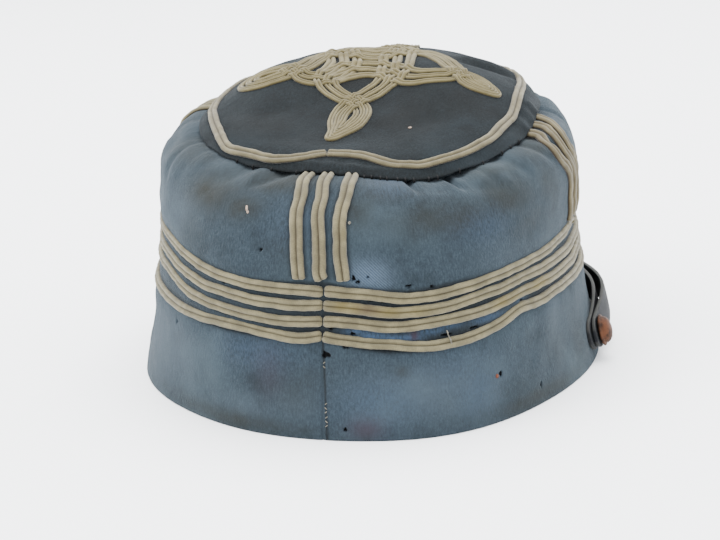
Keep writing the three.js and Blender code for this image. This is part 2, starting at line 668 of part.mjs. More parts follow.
function strapShape(layer) {
  const endLength = STRAP_END_LENGTH - layer * STRAP_END_STEP
  const endAngle = endLength / RIM_REAR / DEGREE
  const front = (rightButton + leftButton) / 2
  const reach = (leftButton - rightButton) / 2
  const ahead = (angle) => (reach - Math.abs(turned(angle, front))) * DEGREE * RIM_REAR
  const heightAt = (angle) => (
    mix(strapEndHeight, strapFrontHeight, ease(ahead(angle) / STRAP_CLIMB_LENGTH))
  )
  const bowAt = (angle) => {
    const share = Math.max(0, (ahead(angle) - BUTTON_RADIUS) / STRAP_BOW_LENGTH)
    return STRAP_BOW * share * Math.exp(1 - share)
  }
  const base = SEAT_GAP + layer * (STRAP_LEATHER + SEAT_GAP)
  const span = reach + endAngle
  const round = STRAP_WIDTH / 2 / RIM_REAR / DEGREE
  const ends = [0, 0.12, 0.5, 1].map((share) => share * round)
  const angles = [
    ...ends.map((off) => front - span + off),
    ...steps(34, front - span + 2 * round, front + span - 2 * round),
    ...ends.toReversed().map((off) => front + span - off),
  ]
  const rings = angles.map((angle) => {
    const fromEnd = clamp01((span - Math.abs(turned(angle, front))) / round)
    const half = STRAP_WIDTH / 2 * Math.max(STRAP_END_BLUNTNESS, Math.sqrt(1 - (1 - fromEnd) ** 2))
    const level = levelAt(angle, heightAt(angle))
    const out = wallFacing(angle, level)
    const up = new THREE.Vector3(0, 0, 1).projectOnPlane(out).normalize()
    const middle = wall(angle, level)
    return [[-1, 0], [1, 0], [1, 1], [-1, 1]].map(([edge, face]) => middle.clone()
      .addScaledVector(up, edge * half)
      .addScaledVector(out, base + bowAt(angle) * (1 + layer) + face * STRAP_LEATHER))
  })
  return skin(rings)
}

function buttonShape() {
  const profile = [
    [0, 0], [0.86, 0], [1, 0.14], [1, 0.24], [0.92, 0.30], [0.78, 0.62], [0.48, 0.90], [0, 1],
  ].map(([out, up]) => new THREE.Vector2(out * BUTTON_RADIUS, up * BUTTON_HEIGHT))
  const lathe = new THREE.LatheGeometry(profile, 12)
  lathe.deleteAttribute('normal')
  lathe.deleteAttribute('uv')
  return facingOut(mergeVertices(lathe))
}

function placeButton(mesh, angle) {
  const level = levelAt(angle, strapEndHeight)
  const out = wallFacing(angle, level)
  const under = 2 * (STRAP_LEATHER + SEAT_GAP) + SEAT_GAP
  mesh.quaternion.setFromUnitVectors(new THREE.Vector3(0, 1, 0), out)
  mesh.position.copy(wall(angle, level, 0)).addScaledVector(out, under)
}

const look = (color, roughness, metalness = 0) => () => (
  new THREE.MeshStandardMaterial({ color, roughness, metalness })
)
const wool = look('#5f7890', 0.95)
const discWool = look('#50585c', 0.95)
const braid = look('#b2a587', 0.9)
const leather = look('#1f1d1c', 0.5)
const copper = look('#9a5a34', 0.4, 0.9)

const kepi = new THREE.Group()

function add(name, shape, material) {
  const mesh = new THREE.Mesh(shape, material())
  mesh.name = name
  kepi.add(mesh)
  return mesh
}

add('band', bandShape(), wool)
add('crown_side', crownSideShape(), wool)
add('crown_disc', crownDiscShape(), discWool)
rowRise.forEach((_, row) => add(`band_braid_${rowRise.length - row}`, rowShape(row), braid))
for (const { place, angle, foot, head } of UPRIGHTS) {
  foot.forEach((share, i) => add(`${place}_braid_${i + 1}`, uprightShape(angle, share, head[i]), braid))
}
add('crown_ring_braid', ringBraidShape(), braid)
add('crown_knot', knotShape(), braid)
add('peak', peakShape(), leather)
add('chin_strap_inner', strapShape(0), leather)
add('chin_strap_outer', strapShape(1), leather)
placeButton(add('button_right', buttonShape(), copper), rightButton)
placeButton(add('button_left', buttonShape(), copper), leftButton)

// The origin is the middle of the footprint of band and peak, at the height of the rim.
kepi.position.y = (RIM_FORE + PEAK_DEPTH - RIM_REAR) / 2

export default kepi
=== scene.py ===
import math

import bmesh
import bpy
import numpy as np
from mathutils import Matrix, Vector, noise
from mathutils.bvhtree import BVHTree


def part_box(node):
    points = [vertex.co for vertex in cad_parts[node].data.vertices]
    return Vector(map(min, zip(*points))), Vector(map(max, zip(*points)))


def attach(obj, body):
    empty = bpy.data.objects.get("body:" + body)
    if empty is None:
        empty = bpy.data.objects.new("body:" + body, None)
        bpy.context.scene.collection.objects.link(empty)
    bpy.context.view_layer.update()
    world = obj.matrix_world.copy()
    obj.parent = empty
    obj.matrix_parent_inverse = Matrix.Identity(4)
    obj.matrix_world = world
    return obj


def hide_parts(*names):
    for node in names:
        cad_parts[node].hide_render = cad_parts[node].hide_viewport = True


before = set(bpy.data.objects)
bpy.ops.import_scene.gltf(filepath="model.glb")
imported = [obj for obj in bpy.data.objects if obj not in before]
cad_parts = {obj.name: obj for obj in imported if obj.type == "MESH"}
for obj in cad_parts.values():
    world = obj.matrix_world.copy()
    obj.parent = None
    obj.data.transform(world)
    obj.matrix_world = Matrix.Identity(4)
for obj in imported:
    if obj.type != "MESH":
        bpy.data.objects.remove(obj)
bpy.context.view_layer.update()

# Wool walls: the band round the head and the softer crown wall above it, each cut from blue wool
# felted on its face. They are sewn into rings with one seam at the back, and the crown wall is
# gathered into the disc's lip. Moths, sweat and handling have marked the cloth.
MM = 0.001
FULL_TURN = 360.0
WOOL_LEVELS = 3
HEM_ROUND = 0.5 * MM
SHARP_EDGE = math.radians(50)
WELD = 0.002 * MM
LEVEL_DIRECTION_HEIGHT = 14 * MM
HEAD_MIDDLE = 45 * MM
band_low, band_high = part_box("band")
CAP_AXIS = np.array([(band_low.x + band_high.x) / 2, (band_low.y + band_high.y) / 2])
WALL_RADIUS = (band_high.x - band_low.x + band_high.y - band_low.y) / 4

# Creases (inward, above 0) and ridges (outward, below 0) of the walls: from one place to another,
# each as degrees round from the back seam toward the wearer's right and millimetres up.
WALL_FOLDS = (
    ("back seam", (0.0, -5), (0.3, 30), 0.6, 0.45),
    ("upper back seam", (0.3, 48), (2.0, 76), 0.9, 0.3),
    ("left shoulder crease", (283, 84), (300, 80.5), 2.6, 1.3),
    ("left shoulder ridge", (284, 87), (297, 86), 2.4, -0.9),
    ("left lower shoulder ridge", (286, 79), (312, 76), 5.0, -1.1),
    ("left lip ridge", (318, 81), (334, 79.5), 2.2, -1.0),
    ("left lip crease", (322, 78), (337, 77.5), 2.4, 0.8),
    ("left seam crease", (341, 76.2), (349, 79.0), 1.3, 1.2),
    ("left seam ridge", (336, 77.6), (345, 79.6), 1.6, -0.8),
    ("first hook", (19.5, 77.5), (22.0, 74.2), 1.3, 1.7),
    ("first hook tail", (22.0, 74.2), (30.0, 73.2), 1.6, 0.7),
    ("second hook", (31.0, 77.0), (33.0, 73.8), 1.3, 1.8),
    ("second hook tail", (33.0, 73.8), (44.0, 72.0), 1.8, 0.8),
    ("ridge between hooks", (23.0, 75.6), (30.0, 75.2), 1.8, -0.5),
    ("third pucker", (40.0, 77.0), (42.5, 73.5), 1.6, 0.5),
    ("fourth pucker", (49.0, 78.0), (53.0, 74.5), 1.8, 0.6),
    ("right lip ridge", (50.0, 77.0), (64.0, 78.4), 2.4, -0.6),
    ("right shoulder hollow", (84, 85), (112, 87), 6.0, 1.2),
    ("right small fold", (60.0, 80.0), (66.0, 75.0), 1.7, 0.9),
    ("right upper fold", (66.0, 82.5), (72.0, 78.5), 1.6, 1.0),
    ("left pucker", (306, 82), (309, 74), 2.2, 0.9),
    ("left front pucker", (262, 88), (260, 80), 2.2, 0.8),
    ("front pucker 1", (150, 88), (152, 79), 2.4, 1.0),
    ("front pucker 2", (200, 88), (203, 80), 2.4, 1.0),
    ("front pucker 3", (226, 89), (224, 80), 2.4, 1.0),
    ("front pucker 4", (125, 87), (127, 79), 2.4, 1.0),
    ("front pucker 5", (105, 86), (103, 78), 2.2, 0.9),
)

# The rise of the crown's rim on the right, in millimetres: how far up, how far it reaches, the height
# above which it starts, and its line in the plan, to the wearer's left and the back of the cap's middle.
RIGHT_RISE = 2.2
RISE_REACH = 9.0
RISE_ABOVE = 72.0
RISE_FROM = (-52.0, -26.0)
RISE_TO = (-58.0, 6.0)

# The crown wall's top fills the space under the lip at the back: how far up it comes there, in how
# many millimetres round from the seam, and above what height.
BACK_TOP_RISE = 0.9 * MM
BACK_TOP_SPREAD = 16.0
BACK_TOP_ABOVE = 73.0

# Marks on the walls: place as above, half length round and up in millimetres, strength.
BROWN_STAINS = (
    (330, 73, 16, 6, 0.80), (341, 70, 9, 4, 0.60), (326, 60, 8, 10, 0.30), (14, 74, 14, 3, 0.45),
    (27, 66, 20, 5, 0.62), (44, 69, 14, 6, 0.65), (60, 69, 8, 6, 0.50), (50, 60, 14, 5, 0.35),
    (348, 77, 20, 3, 0.75), (30, 77, 34, 2.5, 0.60), (64, 80, 18, 4, 0.55), (310, 82, 26, 4, 0.45),
    (355, 16, 12, 9, 0.22), (40, 8, 14, 5, 0.20), (22, 10, 8, 8, 0.05), (338, 3, 26, 3, 0.60),
    (56, 16, 8, 10, 0.25), (70, 12, 9, 9, 0.35), (270, 84, 40, 5, 0.30), (180, 82, 90, 6, 0.40),
    (180, 3, 80, 3, 0.35), (120, 40, 30, 18, 0.20), (230, 30, 36, 16, 0.20), (48, 3, 30, 3.5, 0.60),
    (15, 21.5, 2.2, 1.8, 0.50), (7, 70, 7, 7, 0.45), (353, 62, 7, 12, 0.30),
)
FRESH_BLUE = (
    (7.1, 34.0, 5, 1.6, 0.9), (10, 32.4, 6, 1.6, 1.0), (13.4, 31.4, 7, 1.6, 1.0), (17, 31.6, 5, 1.6, 0.9),
    (21, 32.8, 6, 1.4, 0.8), (25, 33.8, 6, 1.4, 0.75), (34, 33.4, 9, 1.5, 0.8), (44, 35.6, 6, 1.4, 0.5),
    (9, 51, 6, 4, 0.35), (355, 66, 12, 8, 0.2), (10, 12, 14, 8, 0.25), (16, 76, 9, 3, 0.35),
    (26, 20, 16, 8, 0.15), (35, 62, 12, 5, 0.25), (346, 26, 16, 6, 0.3), (30, 12, 8, 9, 0.25),
)
FADED = (
    (9.2, 51.0, 7, 4.5, 0.7), (318, 66, 18, 9, 0.35), (300, 60, 22, 16, 0.45), (312, 20, 26, 14, 0.35),
    (355, 10, 10, 7, 0.25), (57, 26, 7, 14, 0.35), (345, 8, 14, 5, 0.25), (40, 52, 20, 8, 0.2),
    (20, 14, 26, 10, 0.45),
)
BARE = ((9.4, 51.2, 5.5, 4.0, 1.0), (11.5, 48.5, 4.0, 2.0, 0.7))
PURPLE = ((8.0, 4.0, 5, 3.5, 0.55), (349, 20, 5, 8, 0.25), (17.7, 32.2, 1.2, 2.0, 0.9))

# Holes: place as above, half width and half height in millimetres.
MOTH_HOLES = (
    (347.3, 58.3, 0.5, 0.5), (320.3, 28.3, 0.5, 0.6), (0.8, 26.8, 1.35, 1.0), (6.6, 50.5, 0.6, 0.8),
    (7.4, 49.4, 0.7, 0.5), (9.4, 50.9, 0.3, 0.3), (17.2, 47.4, 1.0, 0.45), (21.8, 46.4, 0.7, 0.35),
    (2.0, 35.6, 0.9, 1.1), (4.6, 29.4, 0.9, 0.6), (4.2, 3.6, 0.5, 0.6), (47.6, 6.4, 0.4, 1.0),
    (35.6, 15.2, 0.5, 0.9), (26.6, 38.6, 0.8, 0.5), (48.1, 36.9, 0.9, 0.7), (44.7, 35.0, 0.8, 0.5),
    (9.6, 43.8, 1.0, 0.5), (12.2, 43.2, 0.7, 0.4), (18.0, 29.8, 1.1, 0.45), (24.0, 31.0, 1.8, 0.4),
    (30.0, 31.6, 1.6, 0.4), (6.0, 33.2, 0.8, 0.5), (338.0, 46.5, 0.8, 0.35),
)

# Where the braid presses the cloth in and where it swells above and below the rows: millimetres
# above the row, half height and depth, in millimetres.
PRESSED_BY_BRAID = (0.0, 1.7, 0.35)
SWELL_ABOVE_ROWS = (6.0, 4.0, -0.75)
SWELL_BELOW_ROWS = (-7.0, 4.0, -0.45)
HOLE_DEPTH = 1.1
HOLE_CLEARANCE = 5

# The cloth is meshed finer within this many millimetres of a hole or of the back seam, which ends
# at this height.
FINER_WITHIN = 1.3
SEAM_TOP = 36.0

# How square to the way out from the head an outer face of a wall is at least.
LEAST_OUTWARD = 0.25


def cage_of(node):
    """The faceted solid of a node, its loose triangles joined at their corners."""
    cage = bmesh.new()
    cage.from_mesh(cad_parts[node].data)
    bmesh.ops.remove_doubles(cage, verts=cage.verts, dist=WELD)
    return cage


def corners_of(node):
    cage = cage_of(node)
    corners = np.array([corner.co for corner in cage.verts])
    cage.free()
    return corners


def mesh_from(made, name):
    """Turns a bmesh into a mesh and frees it."""
    mesh = bpy.data.meshes.new(name)
    made.to_mesh(mesh)
    made.free()
    return mesh


def object_from(name, data):
    made = bpy.data.objects.new(name, data)
    bpy.context.scene.collection.objects.link(made)
    return made


def smooth_copy(node, levels, rounding=HEM_ROUND):
    """The faceted solid of a node as a smooth mesh, its sharp edges rounded a little."""
    cage = cage_of(node)
    bmesh.ops.join_triangles(
        cage,
        faces=cage.faces,
        angle_face_threshold=math.pi,
        angle_shape_threshold=math.pi,
    )
    sharp = [edge for edge in cage.edges if edge.calc_face_angle(0) > SHARP_EDGE]
    if rounding and sharp:
        bmesh.ops.bevel(
            cage, geom=sharp, offset=rounding, segments=2, profile=0.5, affect="EDGES", material=-1
        )
    rough = object_from(node + "_cage", mesh_from(cage, node))
    rounder = rough.modifiers.new("rounder", "SUBSURF")
    rounder.levels = levels
    rounder.render_levels = levels
    bpy.context.view_layer.update()
    smooth = bpy.data.meshes.new_from_object(rough.evaluated_get(bpy.context.evaluated_depsgraph_get()))
    bpy.data.objects.remove(rough)
    return smooth


def points_of(mesh):
    flat = np.empty(len(mesh.vertices) * 3, np.float32)
    mesh.vertices.foreach_get("co", flat)
    return flat.reshape(-1, 3).astype(float)


def normals_of(mesh):
    flat = np.empty(len(mesh.vertices) * 3, np.float32)
    mesh.vertices.foreach_get("normal", flat)
    return flat.reshape(-1, 3).astype(float)


def move_points(mesh, points):
    mesh.vertices.foreach_set("co", points.astype(np.float32).ravel())
    mesh.update()


def piece_from(mesh, name, finish, material_slot, *nodes):
    """Puts a finished mesh in the scene as a piece that rides on the cap and stands for nodes."""
    mesh.name = name
    mesh.shade_smooth()
    mesh.materials.clear()
    mesh.materials.append(finish)
    piece = object_from(name, mesh)
    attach(piece, "root")
    if nodes:
        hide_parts(*nodes)
    return piece


def ease(values):
    share = np.clip(values, 0, 1)
    return share * share * (3 - 2 * share)


def round_cap(points):
    """Degrees round from the back seam toward the wearer's right, and millimetres up."""
    across = points[:, 0] - CAP_AXIS[0]
    back = points[:, 1] - CAP_AXIS[1]
    return np.degrees(np.arctan2(-across, back)) % FULL_TURN, points[:, 2] / MM


def turned(angles, middle):
    """Degrees from one angle to others, the short way round."""
    return (angles - middle + 1.5 * FULL_TURN) % FULL_TURN - FULL_TURN / 2


def aside(angles, middle):
    """Millimetres round the wall from one angle to others."""
    return np.radians(turned(angles, middle)) * WALL_RADIUS / MM


def crease(along, up, length, rise, width, depth):
    """A soft groove along a straight line from nought to (length, rise), faded at its ends."""
    reach = max(length**2 + rise**2, 1e-6)
    share = np.clip((along * length + up * rise) / reach, 0, 1)
    away = np.hypot(along - share * length, up - share * rise)
    taper = 0.35 + 0.65 * np.sin(np.pi * np.clip(share, 0.02, 0.98)) ** 0.5
    return depth * taper * np.exp(-((away / width) ** 2))


def waves(points, size, seed):
    """Soft noise of about one unit either way, its bumps about size metres across."""
    shift = Vector((seed * 7.3, seed * 3.1, seed * 5.7))
    return np.array([noise.noise(Vector(point) / size + shift) for point in points])


def outward(points, normals):
    """Away from the head: level near the rim, and square to the cloth higher up."""
    centre = np.append(CAP_AXIS, HEAD_MIDDLE)
    side = np.sign(((points - centre) * normals).sum(1, keepdims=True))
    level = points - centre
    level[:, 2] = 0
    level /= np.linalg.norm(level, axis=1, keepdims=True)
    share = ease(points[:, 2:] / LEVEL_DIRECTION_HEIGHT)
    away = level * (1 - share) + normals * side * share
    return away / np.linalg.norm(away, axis=1, keepdims=True)


def ring_middles(node, order_by, per_ring=5):
    """The middles of the rings of points that a braid's solid was skinned over, in order.

    A braid that runs round starts and ends at its own gap, the shortest way between two rings."""
    corners = corners_of(node)
    corners = corners[np.argsort(order_by(corners))]
    middles = corners.reshape(-1, per_ring, 3).mean(1)
    gaps = np.linalg.norm(np.roll(middles, -1, 0) - middles, axis=1)
    return np.roll(middles, -1 - gaps.argmin(), 0)


def from_front(corners):
    return (round_cap(corners)[0] + FULL_TURN / 2) % FULL_TURN


def row_lines():
    """Angle and height of the middle of each level braid, lowest first."""
    return [
        round_cap(ring_middles(f"band_braid_{row}", from_front))
        for row in (4, 3, 2, 1)
    ]


def row_height(line, angles):
    return np.interp(angles, *line, period=FULL_TURN)


ROWS = row_lines()


def holes(points):
    """1 inside the moth holes of the walls and 0 away from them, with ragged edges."""
    angles, heights = round_cap(points)
    inside = np.zeros(len(points))
    for number, (angle, height, half_round, half_up) in enumerate(MOTH_HOLES):
        across = aside(angles, angle)
        up = heights - height
        near = (abs(across) < HOLE_CLEARANCE) & (abs(up) < HOLE_CLEARANCE)
        turn = np.arctan2(up[near], across[near])
        ragged = 1 + 0.20 * np.sin(3 * turn + number) + 0.10 * np.sin(5 * turn + 2 * number)
        away = np.hypot(across[near] / half_round, up[near] / half_up) / ragged
        inside[near] = np.maximum(inside[near], ease((1.25 - away) / 0.5))
    return inside


def level_fold(above, middle, half_height, depth):
    """A groove or swell that runs round the cap beside a row."""
    return depth * np.exp(-(((above - middle) / half_height) ** 2))


def wall_relief(points):
    """How far the cloth of the walls is pushed in (above 0) or out, in millimetres."""
    angles, heights = round_cap(points)
    depth = np.zeros(len(points))
    for _, (start, low), (end, high), width, deep in WALL_FOLDS:
        length = float(aside(np.array([end]), start)[0])
        depth += crease(aside(angles, start), heights - low, length, high - low, width, deep)
    above_rows = [heights - row_height(line, angles) for line in ROWS]
    for above in above_rows:
        depth += level_fold(above, *PRESSED_BY_BRAID)
    depth += level_fold(above_rows[-1], *SWELL_ABOVE_ROWS)
    depth += level_fold(above_rows[0], *SWELL_BELOW_ROWS)
    calm = ease(heights / 8)
    depth += 0.75 * calm * waves(points, 26 * MM, 1)
    depth += 0.30 * calm * waves(points, 9 * MM, 2)
    depth += 0.07 * waves(points, 3 * MM, 3)
    return depth + HOLE_DEPTH * holes(points)


def right_rise(points):
    """How far the crown stands up under its rim on the right, in millimetres."""
    left = (points[:, 0] - CAP_AXIS[0]) / MM
    back = (points[:, 1] - CAP_AXIS[1]) / MM
    (from_left, from_back), (to_left, to_back) = RISE_FROM, RISE_TO
    share = np.clip((back - from_back) / (to_back - from_back), 0, 1)
    across = left - from_left - share * (to_left - from_left)
    along = back - from_back - share * (to_back - from_back)
    near = np.exp(-((np.hypot(across, along) / RISE_REACH) ** 2))
    return RIGHT_RISE * near * ease((points[:, 2] / MM - RISE_ABOVE) / 8)


def marks(points, table):
    angles, heights = round_cap(points)
    total = np.zeros(len(points))
    for angle, height, half_round, half_up, strength in table:
        away = (aside(angles, angle) / half_round) ** 2 + ((heights - height) / half_up) ** 2
        total = np.maximum(total, strength * np.exp(-away))
    return total


def note(mesh, name, values):
    """Keeps a number for every point of a mesh, for its material to read."""
    layer = mesh.attributes.new(name, "FLOAT", "POINT")
    layer.data.foreach_set("value", values.astype(np.float32))


def unroll(mesh, across, up):
    """Lays a mesh out flat, in metres, for patterns that follow the cloth."""
    corners = np.empty(len(mesh.loops), np.int32)
    mesh.loops.foreach_get("vertex_index", corners)
    flat = np.stack([across[corners], up[corners]], 1)
    layout = mesh.uv_layers.new(name="cloth")
    layout.data.foreach_set("uv", flat.astype(np.float32).ravel())


class Tone:
    """A number or colour over a surface: a node's output, with Python's own arithmetic."""

    def __init__(self, finish, socket):
        self.finish = finish
        self.socket = socket

    def sum_up(self, operation, *values):
        return self.finish.node("Math", {"operation": operation}, dict(enumerate(values)))

    def __add__(self, other):
        return self.sum_up("ADD", self, other)

    def __radd__(self, other):
        return self.sum_up("ADD", other, self)

    def __sub__(self, other):
        return self.sum_up("SUBTRACT", self, other)

    def __rsub__(self, other):
        return self.sum_up("SUBTRACT", other, self)

    def __mul__(self, other):
        return self.sum_up("MULTIPLY", self, other)

    def __rmul__(self, other):
        return self.sum_up("MULTIPLY", other, self)

    def clip(self, low=0.0, high=1.0):
        return self.sum_up("MAXIMUM", self.sum_up("MINIMUM", self, high), low)

    def span(self, low, high):
        """0 where the number is low or less, 1 where it is high or more, smooth between."""
        return self.finish.node(
            "MapRange",
            {"interpolation_type": "SMOOTHSTEP"},
            {0: self, 1: low, 2: high, 3: 0.0, 4: 1.0},
        )


class Finish:
    """A material: one shader, and the nodes that vary it over a surface."""

    def __init__(self, name, settings):
        self.material = bpy.data.materials.new(name)
        self.material.use_nodes = True
        self.tree = self.material.node_tree
        self.shader = self.tree.nodes["Principled BSDF"]
        for socket, value in settings.items():
            self.shader.inputs[socket].default_value = value

    def node(self, kind, settings, inputs, output=0):
        made = self.tree.nodes.new("ShaderNode" + kind)
        for name, value in settings.items():
            setattr(made, name, value)
        for socket, value in inputs.items():
            if isinstance(value, Tone):
                self.tree.links.new(value.socket, made.inputs[socket])
            else:
                made.inputs[socket].default_value = value
        return Tone(self, made.outputs[output])

    def feed(self, socket, value):
        self.tree.links.new(value.socket, self.shader.inputs[socket])

    def place(self):
        return self.node("TexCoord", {}, {}, "Object")

    def layout(self, stretch=(1.0, 1.0, 1.0)):
        flat = self.node("UVMap", {"uv_map": "cloth"}, {})
        return self.node("Mapping", {}, {"Vector": flat, "Scale": stretch})

    def kept(self, name):
        return self.node("Attribute", {"attribute_name": name}, {}, "Fac")

    def cloud(self, where, size, detail=2.0, rough=0.5):
        """Noise about size metres across, from 0 to 1."""
        return self.node(
            "TexNoise", {}, {"Vector": where, "Scale": 1 / size, "Detail": detail, "Roughness": rough}
        )

    def blend(self, under, over, share):
        settings = {"data_type": "RGBA", "clamp_factor": True}
        return self.node("Mix", settings, {0: share, 6: under, 7: over}, 2)

    def layered(self, ground, *layers):
        """A dye with others laid over it in turn, each with the share of it that shows."""
        tone = dye(ground)
        for colour, share in layers:
            tone = self.blend(tone, dye(colour), share)
        return tone

    def raise_by(self, height, distance, strength=1.0):
        bump = self.node("Bump", {}, {"Strength": strength, "Distance": distance, "Height": height})
        self.feed("Normal", bump)


def dye(code):
    """A colour written as in a dye chart, in the shader's own linear numbers."""
    parts = [int(code[i : i + 2], 16) / 255 for i in (0, 2, 4)]
    return (*[part / 12.92 if part < 0.04045 else ((part + 0.055) / 1.055) ** 2.4 for part in parts], 1.0)


def wool_finish(name, base, light, dark, soil, sheen):
    wool = Finish(name, {
        "Roughness": 0.95,
        "Specular IOR Level": 0.1,
        "Sheen Weight": sheen,
        "Sheen Roughness": 0.4,
        "Sheen Tint": dye("b8c4cc"),
    })
    place = wool.place()
    nap = wool.cloud(wool.layout((2.6, 1.0, 1.0)), 1.6 * MM, 4.0, 0.7)
    fleck = wool.cloud(wool.layout((1.6, 1.0, 1.0)), 0.55 * MM, 3.0, 0.7)
    streaks = wool.cloud(wool.layout((3.0, 1.0, 1.0)), 7 * MM, 3.0, 0.6)
    fibre = wool.cloud(place, 0.4 * MM, 2.0, 0.6)
    fading = wool.cloud(place, 9 * MM, 4.0, 0.6)
    patches = wool.cloud(place, 34 * MM, 3.0, 0.55)
    twill = wool.node("TexWave", {"bands_direction": "DIAGONAL"}, {
        "Vector": wool.layout(),
        "Scale": 1 / (1.5 * MM),
        "Distortion": 2.0,
        "Detail": 2.0,
        "Detail Scale": 2.0,
    }, "Fac")
    bare = wool.kept("bare")
    wool.feed("Base Color", wool.layered(
        base,
        (light, nap.span(0.44, 0.74) * 0.45),
        (dark, nap.span(0.50, 0.30) * 0.45),
        (light, fleck.span(0.54, 0.74) * 0.5),
        (dark, fleck.span(0.46, 0.28) * 0.5),
        (dark, fading.span(0.48, 0.78) * 0.6),
        (dark, streaks.span(0.50, 0.72) * 0.3),
        (light, patches.span(0.48, 0.72) * 0.45),
        ("48525a", wool.kept("faded") * (0.35 + fading * 0.6)),
        ("536070", bare * twill.span(0.40, 0.85) * 0.45),
        ("222e3c", bare * twill.span(0.50, 0.10) * 0.4),
        (soil, (wool.kept("soil") * (0.35 + fading * 1.2)).clip()),
        ("2e3d50", wool.kept("fresh") * nap.span(0.28, 0.60)),
        ("2c2229", wool.kept("purple")),
        # Near-black dirt and painted shade beside the braids, between the rows and uprights, along the back
        # seam and at the disc's turned edge.
        ("0b0a08", wool.kept("grime_and_shade") * (0.65 + fleck * 0.5)),
        # Near-black painted shade inside the moth holes, which are only dented, not cut through.
        ("020203", wool.kept("hole_shade").span(0.35, 0.75)),
    ))
    wool.raise_by(nap + fleck * 0.7 + fibre * 0.5, 0.30 * MM, 0.8)
    return wool.material


blue_wool = wool_finish("blue wool", "222a30", "374248", "14191c", "1f1e18", 0.16)


# How far the back uprights bow to the wearer's left at some shares of their height, in millimetres,
# and how far the right ones lie behind their solids' path at some heights.
BACK_BOW = ((0.0, -0.3), (0.05, -0.3), (0.30, 1.15), (0.58, 2.05), (0.735, 2.2), (0.89, 1.15), (1.0, 0.5))
RIGHT_BOW = ((50, 0.0), (60, 0.0), (66, 1.0), (72, 5.0), (77, 10.0), (81, 10.0), (84, 6.0), (88, 4.0))
UPRIGHTS = [(place, number) for place in ("back", "right", "front", "left") for number in (1, 2, 3)]


def upright_line(place, number):
    """The middles of an upright braid's rings, lowest first."""
    middles = ring_middles(f"{place}_braid_{number}", lambda corners: corners[:, 2])
    middles = middles[np.argsort(middles[:, 2])]
    if place == "back":
        share = (middles[:, 2] - middles[0, 2]) / np.ptp(middles[:, 2])
        middles[:, 0] += np.interp(share, *np.transpose(BACK_BOW)) * MM
    if place == "right":
        middles[:, 1] += np.interp(middles[:, 2] / MM, *np.transpose(RIGHT_BOW)) * MM
    return middles


def seam_angle(heights):
    """Degrees round to the band's back seam, which leans a little."""
    return 0.2 + 0.6 * (1 - heights / SEAM_TOP)


def grime_and_shade_by_braid(points):
    """Darkening against every braid, between the rows and beside the uprights, most on the right, and along
    the back seam: partly dirt and partly painted shade where the raised braid shades the cloth.
    """
    angles, heights = round_cap(points)
    rows = np.array([row_height(line, angles) for line in ROWS])
    nearest = abs(heights - rows).min(0)
    among = ease((heights - rows[0] + 2.4) / 0.8) * ease((rows[-1] + 2.4 - heights) / 0.8)
    right = ease((45 - abs(turned(angles, 16))) / 30)
    beside = 0.85 * np.exp(-((nearest / 2.35) ** 6))
    grime_and_shade = among * np.maximum(beside, 0.30 + 0.45 * right)
    grime_and_shade = np.maximum(grime_and_shade, beside * 0.5)
    seam = 0.85 * np.exp(-((aside(angles, seam_angle(heights)) / 0.38) ** 2))
    grime_and_shade = np.maximum(grime_and_shade, seam * (heights < SEAM_TOP))
    for place, number in UPRIGHTS:
        line_angles, line_heights = round_cap(upright_line(place, number))
        leans = np.interp(heights, line_heights, turned(line_angles, line_angles[0]))
        away = abs(aside(angles, line_angles[0] + leans))
        above = ease((heights - line_heights[0] + 1) / 2)
        grime_and_shade = np.maximum(grime_and_shade, 0.75 * above * np.exp(-((away / 3.1) ** 6)))
    return grime_and_shade


def faces_out(face):
    """Whether a face of a wall is on its outside, and not on a hem or the inside."""
    out = face.calc_center_median() - Vector((*CAP_AXIS, HEAD_MIDDLE))
    return face.normal.dot(out.normalized()) > LEAST_OUTWARD


def outer_edges(fine):
    return [edge for edge in fine.edges if all(faces_out(face) for face in edge.link_faces)]


def refine(mesh, levels):
    """Divides a coarser wall's outer faces once, then any wall's round the holes and the back seam."""
    fine = bmesh.new()
    fine.from_mesh(mesh)
    if levels < WOOL_LEVELS:
        bmesh.ops.subdivide_edges(fine, edges=outer_edges(fine), cuts=1, use_grid_fill=True)
    outer = outer_edges(fine)
    middles = np.array([(edge.verts[0].co + edge.verts[1].co) / 2 for edge in outer])
    angles, heights = round_cap(middles)
    close = (abs(aside(angles, 0.3)) < FINER_WITHIN) & (heights < SEAM_TOP + 4)
    for angle, height, half_round, half_up in MOTH_HOLES:
        away = np.hypot(aside(angles, angle), heights - height)
        close |= away < FINER_WITHIN + max(half_round, half_up)
    edges = [edge for edge, chosen in zip(outer, close) if chosen]
    bmesh.ops.subdivide_edges(fine, edges=edges, cuts=levels - 1, use_grid_fill=True)
    fine.to_mesh(mesh)
    fine.free()


